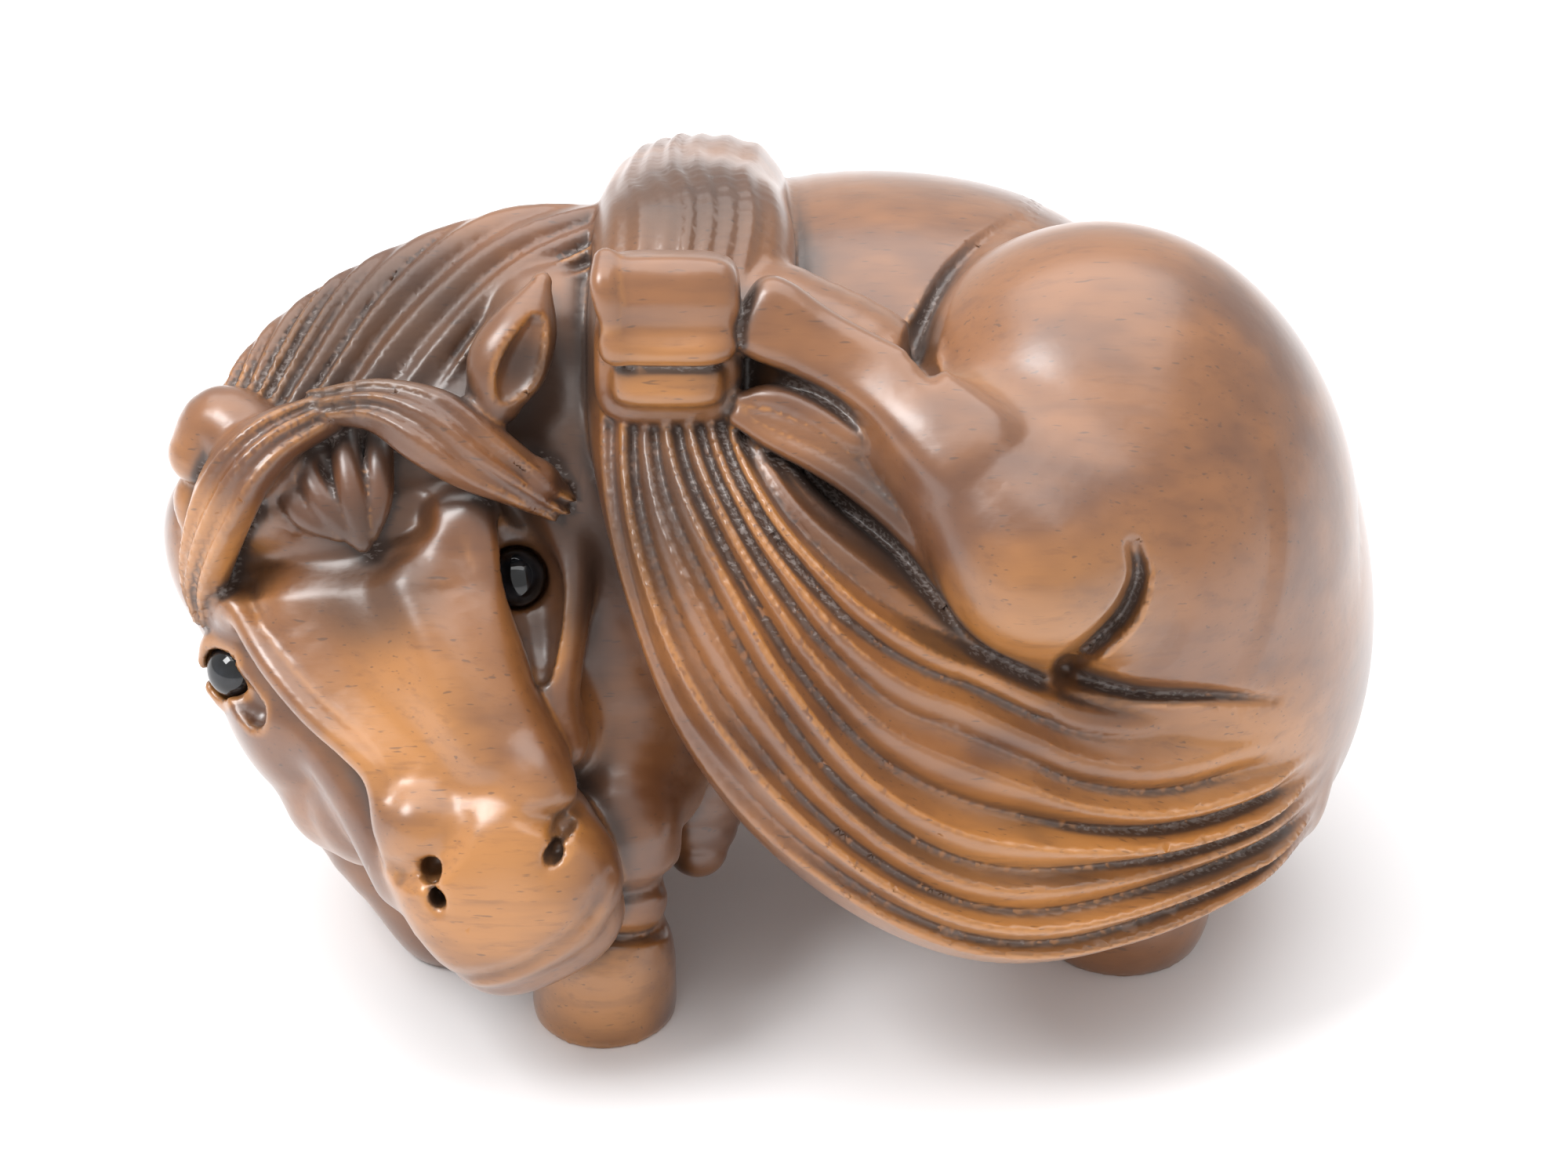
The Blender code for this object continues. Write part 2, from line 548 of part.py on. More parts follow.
def outer_shell(vertices, triangles):
    """The largest connected surface, which leaves out bubbles between forms inside the solid."""
    label = np.arange(len(vertices))
    while True:
        lowest = label[triangles].min(axis=1)
        joined = label.copy()
        np.minimum.at(joined, triangles.ravel(), np.repeat(lowest, 3))
        joined = joined[joined]
        if (joined == label).all():
            break
        label = joined
    names, sizes = np.unique(label, return_counts=True)
    keep = label == names[sizes.argmax()]
    number = np.cumsum(keep) - 1
    return vertices[keep], number[triangles[keep[triangles[:, 0]]]]


# Objects

def plain_material(name, colour, roughness, metallic=0.0):
    material = bpy.data.materials.new(name)
    material.use_nodes = True
    shader = material.node_tree.nodes["Principled BSDF"]
    shader.inputs["Base Color"].default_value = (*colour, 1.0)
    shader.inputs["Roughness"].default_value = roughness
    shader.inputs["Metallic"].default_value = metallic
    return material


def add_object(name, mesh):
    thing = bpy.data.objects.new(name, mesh)
    bpy.context.scene.collection.objects.link(thing)
    return thing


def add_cutter(name, target, mesh):
    """A hidden object whose shape is taken out of the target."""
    cutter = add_object(name, mesh)
    cutter.hide_render = True
    cutter.display_type = "WIRE"
    modifier = target.modifiers.new(name, "BOOLEAN")
    modifier.operation = "DIFFERENCE"
    modifier.solver = "EXACT"
    modifier.object = cutter
    return cutter


def round_mesh(name, radius, segments=20, rings=12):
    """A ball around the origin."""
    mesh = bpy.data.meshes.new(name)
    shape = bmesh.new()
    bmesh.ops.create_uvsphere(shape, u_segments=segments, v_segments=rings, radius=radius)
    shape.to_mesh(mesh)
    shape.free()
    mesh.shade_smooth()
    return mesh


def make_horse():
    values = sampled(horse_distance, LOW, HIGH, CELL)
    vertices, triangles = outer_shell(*surface_triangles(values, LOW, CELL))
    mesh = bpy.data.meshes.new("horse")
    mesh.from_pydata(((vertices - DRAWING_MIDDLE) * UNIT).tolist(), [], triangles.tolist())
    mesh.shade_smooth()
    mesh.materials.append(plain_material("stained boxwood", (0.27, 0.12, 0.05), 0.38))
    horse = add_object("horse", mesh)
    thin = horse.modifiers.new("thin out", "DECIMATE")
    thin.ratio = min(1.0, TRIANGLES / len(triangles))
    thin.use_collapse_triangulate = True
    return horse


def cut_feet_flat(horse):
    """The feet end on the ground, z = 0."""
    mesh = bpy.data.meshes.new("ground")
    shape = bmesh.new()
    bmesh.ops.create_cube(shape, size=1.0)
    for vertex in shape.verts:
        vertex.co.x *= 2 * HORSE_LENGTH
        vertex.co.y *= 2 * HORSE_LENGTH
        vertex.co.z = (vertex.co.z - 0.5) * CUTTER_DEPTH
    shape.to_mesh(mesh)
    shape.free()
    add_cutter("ground", horse, mesh)


def let_in_eye(name, place, horse):
    """A round bead, and a socket in the wood that is wider by the gap all round."""
    centre = (np.array(on_head(*place)) - DRAWING_MIDDLE) * UNIT
    radius = EYE_DIAMETER / 2
    bead = add_object(name, round_mesh(name, radius))
    bead.location = centre
    bead.data.materials.append(plain_material("black horn bead " + name, (0.004, 0.004, 0.005), 0.06))
    socket = add_cutter("socket of " + name, horse, round_mesh("socket of " + name, radius + EYE_GAP))
    socket.location = centre


def main():
    for thing in list(bpy.data.objects):
        bpy.data.objects.remove(thing)
    horse = make_horse()
    cut_feet_flat(horse)
    let_in_eye("eye_left", EYE_LEFT_PLACE, horse)
    let_in_eye("eye_right", EYE_RIGHT_PLACE, horse)


main()
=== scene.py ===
"""Dresses the netsuke: a stocky horse carved from one piece of stained boxwood, with inlaid eye beads.

The carving is a free form, so it is worked out as a field: for a whole array of points, how far each
lies outside the horse (negative inside). Forms are balls, blocks, tapered tubes and flat straps that
are added and cut with soft creases, and lines that are raised or engraved. The field is sampled on a
grid near the surface, meshed where it is zero, and drawn tight onto it. The drawing is in millimetres
of the real piece. The beads are surfaces of two parameters.
"""
import math

import bpy
import numpy as np
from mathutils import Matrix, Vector


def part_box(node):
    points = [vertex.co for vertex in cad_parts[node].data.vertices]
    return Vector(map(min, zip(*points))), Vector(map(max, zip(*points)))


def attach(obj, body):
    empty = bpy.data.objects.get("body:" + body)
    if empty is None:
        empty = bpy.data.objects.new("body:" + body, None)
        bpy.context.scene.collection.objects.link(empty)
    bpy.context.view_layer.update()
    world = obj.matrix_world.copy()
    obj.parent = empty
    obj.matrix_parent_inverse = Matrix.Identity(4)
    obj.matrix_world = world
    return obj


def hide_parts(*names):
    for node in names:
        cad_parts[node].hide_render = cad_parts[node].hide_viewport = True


bl_info = {
    "name": "Carved boxwood horse",
    "version": (1, 0, 0),
    "blender": (4, 5, 0),
    "location": "3D View > Sidebar > Netsuke",
    "description": "Builds the carved surface, the eye beads, their finishes and the studio",
    "category": "Add Mesh",
}

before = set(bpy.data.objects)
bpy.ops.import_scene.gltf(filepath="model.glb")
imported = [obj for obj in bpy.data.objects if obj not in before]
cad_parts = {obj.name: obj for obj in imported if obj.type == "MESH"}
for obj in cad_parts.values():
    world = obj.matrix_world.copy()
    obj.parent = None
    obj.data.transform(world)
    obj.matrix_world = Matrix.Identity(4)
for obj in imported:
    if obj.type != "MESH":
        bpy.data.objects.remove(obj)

MM = 0.001
DRAWING_MIDDLE = np.array([-0.33, 0.6, 0.0])    # the place in the drawing that becomes the origin
LOW = np.array([-25.5, -20.5, -1.2])            # corners of the box that the field is sampled in
HIGH = np.array([25.5, 20.5, 34.4])
FAR = 4.0                                       # distance given to points that no form is near
VIEWER_WAY = np.array([0.0, -0.829, 0.559])     # from the carving to the camera

# The head has its own axes: across it, along the face to the muzzle, and out of the face
HEAD_PLACE = np.array([-15.6, -8.5, 17.3])
MUZZLE_WAY = np.array([0.403, -0.608, -0.684])
FACE_WAY = np.array([-0.225, -0.791, 0.569])
ACROSS_WAY = np.cross(MUZZLE_WAY, FACE_WAY) * -1
HEAD_AXES = (ACROSS_WAY, MUZZLE_WAY, FACE_WAY)

# Mesh of the carving
STEP = 0.2                   # edge of a cell in the drawing's millimetres
TRIANGLES = 194000
POINTS_AT_ONCE = 200000
SLOPE_STEP = 0.06            # how far to each side the field's slope is measured
REACH = 0.5                  # how far from the surface the distances are true, once it is meshed
LONGEST_MOVE = 0.12          # of a vertex that is drawn onto the surface

# How far out of the surface, or in, each mark looks for other wood
MARK_WAYS = {"recess": 0.5, "hollow": 1.8, "crest": -0.4}
MARK_REACH = 0.3             # how much further than that the distances are true
MARK_SLOPE_STEP = 0.08

# Studio
AIM = Vector((0.00033, -0.0006, 0.0135))         # the point in the middle of the picture
CAMERA_DOWN = math.radians(34)
CAMERA_DISTANCE = 0.170
CAMERA_FOCAL_PIXELS = 5542
PHOTO_WIDTH = 2000
SENSOR_WIDTH = 36.0          # in millimetres
FLOOR_SIDE = 3.0
LAMP_PLACE = (0.0, 0.05, 0.30)
LAMP_SIDE = 0.40
SIDE_LAMP_PLACE = (-0.136, -0.067, 0.21)
SIDE_LAMP_SIDE = 0.09

# The wood's patterns: name, size across the grain in mm, how many times longer along it, and detail
WOOD_PATTERNS = (
    ("clouds", 5.0, 1.6, 3.0),
    ("figure", 0.9, 8.0, 2.0),
    ("grain", 0.35, 7.0, 4.0),
    ("pores", 0.16, 6.0, 1.0),
    ("mottle", 0.9, 1.0, 3.0),
    ("specks", 0.13, 2.0, 1.0),
    ("knife", 1.1, 1.0, 2.0))

# Where dust and wax have darkened the wood, and where painted shade lies in hollows, under parts and
# between them: x, y, z and how far it fades out
DUST_AND_SHADE_SPOTS = (
    (-16.0, -9.0, 20.6, 4.5),       # forehead
    (-14.5, -2.0, 25.5, 7.5),       # mane
    (-8.2, -3.8, 24.5, 4.5),        # beside the left ear
    (-7.0, -8.0, 19.5, 4.0),        # chest
    (-4.0, -8.0, 22.0, 5.0),        # tail under the hoof
    (-3.6, 1.0, 29.5, 5.0),         # tail's tip over the back
    (-9.4, -5.5, 27.0, 1.6),        # hollow of the left ear
    (3.2, -8.5, 22.5, 4.5),         # behind the hair of the pastern
)

# Where hands have rubbed the stain away, and where a lighter warm tone is painted on flanks that face
# down or aside as painted light: x, y, z and how far it fades out
WEAR_AND_LIGHT_SPOTS = (
    (-11.2, -15.6, 10.4, 7.0),      # muzzle
    (-4.3, -8.6, 27.6, 3.5),        # front of the raised hoof
    (9.2, -13.4, 20.3, 6.5),        # hock
    (-14.3, -12.5, 15.5, 5.5),      # plate of the face
    (10.0, -14.0, 9.5, 9.0),        # lower edge of the tail
    (16.5, -11.0, 11.5, 7.0),       # root of the tail
    (-7.1, -11.6, 2.4, 5.0),        # fore hoof
    (-22.3, -7.0, 20.0, 5.0),       # lock over the right brow
)

HORN_CLOUD = 0.8             # size in mm of the clouds in the horn
HORN_CLOUD_COLOUR = "22252a"
BEAD_GAP = 0.12              # between a bead and the wood around it
NOSTRIL_DIAMETER = 0.8


def bead_place(node):
    """A bead's centre and radius in the drawing, from its box."""
    low, high = (np.array(corner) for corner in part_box(node))
    return (low + high) / 2 / MM + DRAWING_MIDDLE, (high - low).max() / 2 / MM


BEADS = {node: bead_place(node) for node in ("eye_left", "eye_right")}


def unit(way):
    """The same direction with a length of one."""
    way = np.asarray(way, float)
    return way / np.linalg.norm(way)


def on_head(across, along, out):
    """A place given in the head's own axes."""
    return tuple(HEAD_PLACE + across * ACROSS_WAY + along * MUZZLE_WAY + out * FACE_WAY)


def on_head_rows(rows):
    """Rows whose first three numbers are places on the head, with the rest carried along."""
    return [on_head(*row[:3]) + tuple(row[3:]) for row in rows]


# Tools that join and cut forms

def blend(first, second, softness):
    """The smaller of two distances, less a quarter of the softness where they are equal."""
    overlap = np.maximum(softness - np.abs(first - second), 0.0) / softness
    return np.minimum(first, second) - overlap * overlap * softness * 0.25


def smooth_path(rows, steps=5):
    """A cubic between each two rows, with the slope at a row taken from its two neighbours."""
    rows = np.asarray(rows, float)
    ends = np.vstack([2 * rows[0] - rows[1], rows, 2 * rows[-1] - rows[-2]])
    t = np.linspace(0, 1, steps, endpoint=False)[:, None]
    pieces = []
    for a, b, c, d in zip(ends[:-3], ends[1:-2], ends[2:-1], ends[3:]):
        bend = (2 * a - 5 * b + 4 * c - d) * t**2 + (3 * b - a - 3 * c + d) * t**3
        pieces.append(0.5 * (2 * b + (c - a) * t + bend))
    return np.vstack(pieces + [rows[-1:]])


class Form:
    """A form's box and its distance function."""

    def __init__(self, low, high, distance):
        self.low = low
        self.high = high
        self.distance = distance


def block(centre, radii, axes=None, squareness=2.0):
    """A superellipsoid: the squareness-th powers of the shares of its radii add up to one."""
    centre = np.asarray(centre, float)
    radii = np.asarray(radii, float) * np.ones(3)
    turn = np.eye(3) if axes is None else np.array([unit(axis) for axis in axes])
    reach = np.sqrt(((turn * radii[:, None]) ** 2).sum(0)) * (1.0 if squareness < 2.01 else 1.3)

    def distance(points):
        q = np.abs((points - centre) @ turn.T) / radii
        level = np.maximum((q**squareness).sum(1) ** (1 / squareness), 1e-4)
        slope = np.sqrt((q ** (2 * squareness - 2) / radii**2).sum(1)) * level ** (1 - squareness)
        return (level - 1) / np.maximum(slope, 1e-6)
    return Form(centre - reach, centre + reach, distance)


def ball(centre, radii, axes=None):
    """An ellipsoid."""
    return block(centre, radii, axes, 2.0)


def tube(rows):
    """A round tube along the smooth path of rows (x, y, z, radius)."""
    path = smooth_path(rows)
    low = (path[:, :3] - path[:, 3:]).min(0)
    high = (path[:, :3] + path[:, 3:]).max(0)

    def distance(points):
        best = np.full(len(points), 1e9)
        for a, b in zip(path[:-1], path[1:]):
            step = b[:3] - a[:3]
            q = points - a[:3]
            t = np.clip(q @ step / (step @ step), 0, 1)
            here = np.sqrt(((q - t[:, None] * step) ** 2).sum(1)) - a[3] - t * (b[3] - a[3])
            np.minimum(best, here, out=best)
        return best
    return Form(low, high, distance)


def head_tube(rows):
    """A tube whose rows are (across, along, out, radius) in the head's own axes."""
    return tube(on_head_rows(rows))


def along_path(points, path, faces):
    """For each point, its nearest place on the path: share of the length, across, out, past the
    ends, and the path's half width and half thickness there."""
    count = len(path) - 1
    way = np.gradient(path[:, :3], axis=0)
    way /= np.linalg.norm(way, axis=1)[:, None]
    out = faces - (faces * way).sum(1)[:, None] * way
    out /= np.linalg.norm(out, axis=1)[:, None]
    side = np.cross(way, out)
    best = np.full(len(points), 1e9)
    found = np.zeros((len(points), 6))
    for i in range(count):
        step = path[i + 1, :3] - path[i, :3]
        q = points - path[i, :3]
        t = np.clip(q @ step / (step @ step), 0, 1)
        rest = q - t[:, None] * step
        near = (rest**2).sum(1)
        nearer = near < best
        best[nearer] = near[nearer]
        t = t[nearer]
        rest = rest[nearer]
        between = [a[i] + t[:, None] * (a[i + 1] - a[i]) for a in (side, out, way)]
        found[nearer, 0] = (i + t) / count
        for column, axis in enumerate(between):
            found[nearer, 1 + column] = (rest * axis).sum(1)
        found[nearer, 4] = path[i, 3] + t * (path[i + 1, 3] - path[i, 3])
        found[nearer, 5] = path[i, 4] + t * (path[i + 1, 4] - path[i, 4])
    return found


def strap(rows, relief=None, squareness=2.0, steps=5):
    """A flat tube: rows are (x, y, z, half width, half thickness, way it faces as x, y, z).

    The section is a superellipse, and relief(share of length, share of half width) raises or
    sinks the side that faces out."""
    path = smooth_path(rows, steps)
    faces = path[:, 5:8]
    reach = path[:, 3:5].max(1)[:, None]
    low = (path[:, :3] - reach).min(0)
    high = (path[:, :3] + reach).max(0)

    def distance(points):
        share, across, out, past, width, thick = along_path(points, path, faces).T
        if relief is not None:
            thick = thick + relief(share, across / width) * (out > -thick)
        terms = [np.abs(across / width), np.abs(out / thick), np.abs(past / thick)]
        sizes = [width, thick, thick]
        level = sum(term**squareness for term in terms) ** (1 / squareness)
        slope = sum(term ** (2 * squareness - 2) / size**2 for term, size in zip(terms, sizes))
        slope = np.sqrt(slope) * np.maximum(level, 1e-6) ** (1 - squareness)
        return (level - 1) / np.maximum(slope, 1e-6)
    return Form(low, high, distance)


class Carving:
    """The distances of a set of points, as forms are added and hollows cut one by one.

    They are right up to the given reach from the surface, and FAR beyond it."""

    def __init__(self, points, reach):
        self.points = points
        self.reach = reach
        self.distances = np.full(len(points), FAR)

    def near(self, low, high, margin):
        """The numbers of the points in a box, with a margin round it."""
        inside = (self.points > low - margin) & (self.points < high + margin)
        return np.flatnonzero(inside.all(1))

    def add(self, form, softness):
        """Join a form to the carving."""
        i = self.near(form.low, form.high, softness + self.reach)
        self.distances[i] = blend(self.distances[i], form.distance(self.points[i]), softness)

    def cut(self, form, softness):
        """Take a form out of the carving."""
        i = self.near(form.low, form.high, softness + self.reach)
        self.distances[i] = -blend(-self.distances[i], form.distance(self.points[i]), softness)

    def engrave(self, rows, way=VIEWER_WAY, sharp=0.5, deep=1.8):
        """A line sunk into the surface, or raised where its depth is below zero.

        Rows are (x, y, z, half width, depth). The depth falls from the line to the half width as
        a straight slope mixed with a cosine, and what lies further than deep along the given way
        is left alone."""
        path = smooth_path(rows, 3)
        margin = path[:, 3].max() + deep
        i = self.near(path[:, :3].min(0), path[:, :3].max(0), margin)
        points = self.points[i]
        way = unit(way)
        best = np.zeros(len(points))
        for a, b in zip(path[:-1], path[1:]):
            step = b[:3] - a[:3]
            flat_step = step - (step @ way) * way
            q = points - a[:3]
            t = np.clip(q @ flat_step / max(flat_step @ flat_step, 1e-9), 0, 1)
            rest = q - t[:, None] * step
            out = rest @ way
            across = np.sqrt(np.maximum((rest**2).sum(1) - out**2, 0))
            share = np.clip(1 - across / (a[3] + t * (b[3] - a[3])), 0, 1)
            profile = sharp * share + (1 - sharp) * (0.5 - 0.5 * np.cos(math.pi * share))
            depth = (a[4] + t * (b[4] - a[4])) * profile * np.clip(2 - 2 * np.abs(out) / deep, 0, 1)
            best = np.where(np.abs(depth) > np.abs(best), depth, best)
        self.distances[i] += best


def lock(position, crest=0.62):
    """Hair: 0 in the groove and 1 on the crest, rising slowly and falling off faster, repeating
    at every whole number."""
    t = position - np.floor(position)
    slope = np.where(t < crest, t / crest, (1 - t) / (1 - crest))
    return 0.5 - 0.5 * np.cos(math.pi * slope)


def strand(position, crest=0.6):
    """Carved hair: from the groove a full flank up to a sharp crest, then a hollow fall into the
    next groove. The flank is 1 - (1 - t)^1.5 and the fall t^1.5."""
    t = position - np.floor(position)
    flank = 1 - (1 - np.clip(t / crest, 0, 1)) ** 1.5
    fall = np.clip((1 - t) / (1 - crest), 0, 1) ** 1.5
    return np.where(t < crest, flank, fall)


def tail_relief(share, across):
    """Strands along the tail, counted from its lower edge. They fade out at the root on the rump,
    are more where the tail is wide, and every third is low, so that it seems to fork."""
    count = np.interp(share, (0.05, 0.25, 0.42, 0.6, 1.0), (6.4, 7.0, 8.2, 8.0, 8.0))
    wander = 0.3 * np.sin(9 * share + 2.5 * across) + 0.14 * np.sin(23 * share - 4 * across)
    position = (across + 1) / 2 * count + wander
    number = np.floor(position)
    fade = np.clip((share - 0.01) / 0.07, 0, 1)
    height = 0.68 + 0.16 * np.sin(number * 2.4) + 0.08 * np.sin(11 * share + 1.7 * number)
    depth = np.interp(share, (0.0, 0.3, 0.5, 0.66, 0.72, 1.0), (1.45, 1.3, 0.9, 0.4, 0.2, 0.2))
    smooth = np.clip((share - 0.6) / 0.12, 0, 1)
    profile = strand(position) * (1 - smooth) + lock(position, 0.5) * smooth
    return fade * depth * (height * profile - 0.4)


def mane_relief(share, across):
    """Strands that run slantwise over the crest of the neck and end there, so that it is notched."""
    position = across * 3.2 + 8 * share + 0.5 * np.sin(7 * share + 2 * across)
    number = np.floor(position)
    return (0.42 + 0.12 * np.sin(2.1 * number)) * (strand(position) - 0.5)


# The horse's parts

def body(clay):
    """Barrel, rump, neck and chest, that hide the far legs."""
    clay.add(strap([
        (-13.0, 4.0, 13.5, 8.5, 7.0, 0, 0, 1),
        (-6.0, 5.0, 14.6, 11.0, 9.0, 0, 0, 1),
        (2.0, 5.5, 15.8, 12.0, 11.4, 0, 0, 1),
        (9.0, 4.5, 15.6, 11.0, 11.0, 0, 0, 1),
        (13.4, 3.9, 15.4, 8.1, 8.3, 0, 0, 1)], steps=12), 1.0)
    clay.add(ball((12.0, 0.5, 12.8), (10.0, 10.5, 11.4)), 1.5)
    clay.add(ball((14.6, -0.5, 9.5), (7.9, 8.2, 8.4)), 2.0)
    clay.add(tube([
        (-7, 4.5, 19.0, 7.0), (-12, 3.0, 19.8, 6.0), (-15.6, -0.5, 19.4, 5.2),
        (-16.0, -4.0, 18.4, 3.4)]), 2.0)
    clay.add(ball((-11.5, -1.0, 21.5), (4.5, 4.0, 4.0)), 1.5)
    clay.add(ball((-18.3, -3.4, 20.2), (3.2, 3.0, 3.6)), 1.5)
    clay.add(tube([(-12, 4, 12, 7.0), (-14, 0, 9, 5.0)]), 2.0)
    clay.add(tube([(-9, 2, 17, 6.0), (-6.5, -3, 13, 5.0), (-5.8, -6.5, 9.5, 2.8)]), 2.0)
    clay.add(tube([
        (-7.8, -3.0, 22.2, 2.6), (-7.1, -4.2, 17.4, 2.8), (-6.3, -5.4, 12.4, 2.8),
        (-5.7, -6.5, 9.5, 2.4)]), 1.0)
    clay.add(tube([(-8.9, 0.0, 24.9, 3.0), (-7.7, -1.5, 22.7, 3.0)]), 1.0)
    clay.add(tube([(-0.4, -2.6, 26.4, 2.8), (2.9, -4.0, 24.6, 3.3), (5.8, -6.3, 21.6, 3.5)]), 1.0)
    # the belly behind the tail
    clay.add(tube([
        (14.0, -6.0, 8.6, 4.0), (8.0, -7.5, 9.6, 4.0), (3.5, -7.5, 12.6, 4.0),
        (0.0, -6.3, 16.0, 4.0), (-2.5, -4.0, 20.0, 3.5)]), 1.5)


def raised_leg(clay):
    """Haunch, thigh, hock and pastern of the left hind leg."""
    clay.add(ball((11.8, -2.4, 20.5), (8.7, 8.6, 9.6)), 0.7)
    clay.add(ball((14.8, -2.2, 15.2), (7.1, 8.8, 9.5)), 3.5)
    clay.add(tube([(12.3, -6, 20.2, 6.4), (10.4, -8.8, 21.4, 4.6), (9.0, -11.0, 22.2, 3.1)]), 1.8)
    clay.add(tube([(0.0, -4.0, 22.9, 2.6), (3.5, -5.0, 20.8, 3.0), (6.7, -7.0, 18.6, 3.2)]), 0.8)
    clay.add(tube([(1.0, -5.2, 25.4, 2.2), (4.5, -7.0, 24.2, 2.4), (7.0, -8.6, 22.0, 2.4)]), 0.8)
    clay.add(tube([
        (9.0, -10.8, 22.2, 2.9), (7.3, -9.8, 24.3, 2.6), (5.7, -8.8, 25.8, 2.0)]), 2.2)
    clay.add(strap([
        (6.2, -9.4, 25.9, 1.9, 1.7, 0.2, -0.8, 0.5),
        (4.5, -8.0, 26.9, 1.6, 1.5, 0.2, -0.8, 0.5),
        (2.8, -6.9, 27.6, 1.35, 1.4, 0.1, -0.8, 0.5),
        (1.1, -6.2, 28.3, 1.35, 1.4, 0.0, -0.8, 0.5),
        (-0.3, -5.9, 29.0, 1.55, 1.4, 0.0, -0.8, 0.5)], squareness=3.6), 0.6)
    # the crease between barrel and haunch, and the fold behind the hock
    clay.engrave([
        (9.0, 5.5, 26.9, 0.4, 0.1), (7.5, 3.3, 27.1, 0.45, 0.25), (6.2, 0.6, 27.2, 0.5, 0.4),
        (5.4, -1.6, 26.8, 0.6, 0.6), (4.8, -4.3, 26.6, 0.8, 1.0),
        (5.2, -6.4, 27.0, 0.6, 0.5)], sharp=0.7, deep=4.0)
    clay.engrave([
        (12.4, -11.8, 23.2, 0.5, 0.4), (12.6, -12.2, 22.3, 0.5, 0.9), (12.2, -12.6, 21.1, 0.6, 1.2),
        (11.3, -12.7, 19.9, 0.6, 1.1), (10.4, -12.5, 18.7, 0.7, 0.9)], sharp=0.6, deep=4.0)
    clay.engrave([
        (10.3, -12.6, 18.4, 0.8, 0.9), (12.8, -12.0, 17.1, 0.5, 0.6), (15.8, -10.8, 16.1, 0.4, 0.4),
        (18.2, -9.0, 14.6, 0.3, 0.15)], sharp=0.6, deep=4.0)
    # long hair below the pastern, in ridges that run back to the hock
    for rows in (
            [(-1.5, -7.2, 26.5, 0.35), (-0.4, -7.3, 26.7, 0.5),
             (1.0, -7.7, 26.3, 0.55), (2.6, -8.5, 25.6, 0.5)],
            [(-1.5, -7.4, 26.2, 0.35), (0.0, -7.8, 25.9, 0.45),
             (1.8, -8.4, 25.2, 0.5), (3.6, -9.4, 23.9, 0.5)],
            [(-1.6, -7.5, 26.0, 0.4), (-0.4, -8.0, 25.4, 0.45), (1.1, -8.6, 24.9, 0.5),
             (2.6, -9.3, 24.2, 0.5), (4.4, -10.2, 23.0, 0.55), (6.3, -11.0, 20.7, 0.5)]):
        clay.add(tube(rows), 0.15)


def tail(clay):
    """From the rump forward under the raised leg, up behind the hoof, and over the back."""
    clay.add(strap([
        (19.6, -5.7, 9.6, 3.6, 1.5, 0.5, -1, 0.2),
        (16.6, -9.5, 10.4, 4.3, 1.9, 0.3, -1, 0.2),
        (12.3, -11.8, 10.9, 5.0, 2.2, 0.1, -1, 0.25),
        (7.9, -12.5, 11.8, 5.6, 2.5, 0.0, -1, 0.4),
        (3.7, -12.0, 14.5, 5.7, 2.7, -0.1, -1, 0.5),
        (0.3, -11.0, 18.2, 5.2, 2.7, -0.1, -1, 0.5),
        (-2.3, -8.7, 21.4, 4.0, 2.5, -0.1, -1, 0.5),
        (-3.8, -5.7, 23.9, 3.3, 2.2, 0, -1, 0.5),
        (-3.8, -2.5, 26.4, 3.5, 2.6, 0, -1, 0.5),
        (-3.4, 0.5, 27.8, 3.8, 3.1, 0, -1, 0.7),
        (-3.5, 4.6, 26.4, 3.8, 3.5, 0, 0.2, 1),
        (-3.2, 9.0, 25.3, 3.4, 3.0, 0, 1, 1),
        (-3.0, 12.0, 22.5, 2.8, 2.4, 0, 1, 0.6)],
        relief=tail_relief, squareness=2.5, steps=12), 0.4)


def raised_hoof(clay):
    """The hoof in front of the tail: a block with a flared edge, and a plate below a deep groove."""
    out = unit((-0.05, -0.93, 0.36))
    up = unit((0.0, 0.36, 0.93))
    axes = ((1, 0, 0), out, up)
    clay.add(block((-4.1, -6.2, 29.8), (2.55, 1.6, 2.0), axes, 4.5), 0.2)
    clay.add(block((-4.2, -6.3, 26.9), (2.1, 1.7, 0.9), axes, 4.0), 0.15)
    clay.add(block((-4.2, -5.5, 27.3), (2.7, 1.5, 2.4), axes, 4.0), 0.3)
    # the sole is hollowed and flares at its left edge, and the front is hollowed below its rim
    clay.cut(ball((-3.9, -8.0, 33.2), (2.5, 1.6, 1.3), axes), 0.5)
    clay.add(tube([
        (-6.35, -6.3, 31.8, 0.45), (-6.4, -7.2, 31.3, 0.5), (-6.2, -7.5, 30.2, 0.45),
        (-6.1, -7.6, 28.8, 0.4)]), 0.6)
    clay.engrave([
        (-6.2, -8.0, 30.0, 0.9, 0.2), (-4.1, -8.1, 30.0, 1.0, 0.35),
        (-2.0, -8.0, 30.0, 0.9, 0.25)], sharp=0.1)
    clay.cut(tube([(-7.6, -8.6, 27.9, 0.35), (-4.2, -8.6, 27.9, 0.4), (-0.8, -8.6, 28.0, 0.35)]), 0.15)


def mane(clay):
    """The crest of the neck, from the tail's tip to the right ear."""
    clay.add(strap([
        (-6.0, 1.2, 26.4, 3.4, 1.6, 0, -0.6, 1),
        (-9.5, 1.0, 26.2, 3.6, 1.7, 0, -0.6, 1),
        (-12.5, 0.4, 25.4, 3.7, 1.8, -0.1, -0.6, 1),
        (-15.4, -0.6, 24.4, 3.6, 1.8, -0.1, -0.6, 1),
        (-18.0, -2.0, 23.4, 3.2, 1.6, -0.2, -0.6, 1),
        (-20.0, -3.0, 22.4, 2.2, 1.3, -0.3, -0.6, 1)], mane_relief, squareness=2.4), 0.3)
    clay.add(ball((-9.9, 2.2, 27.2), (1.0, 0.8, 1.0)), 0.6)


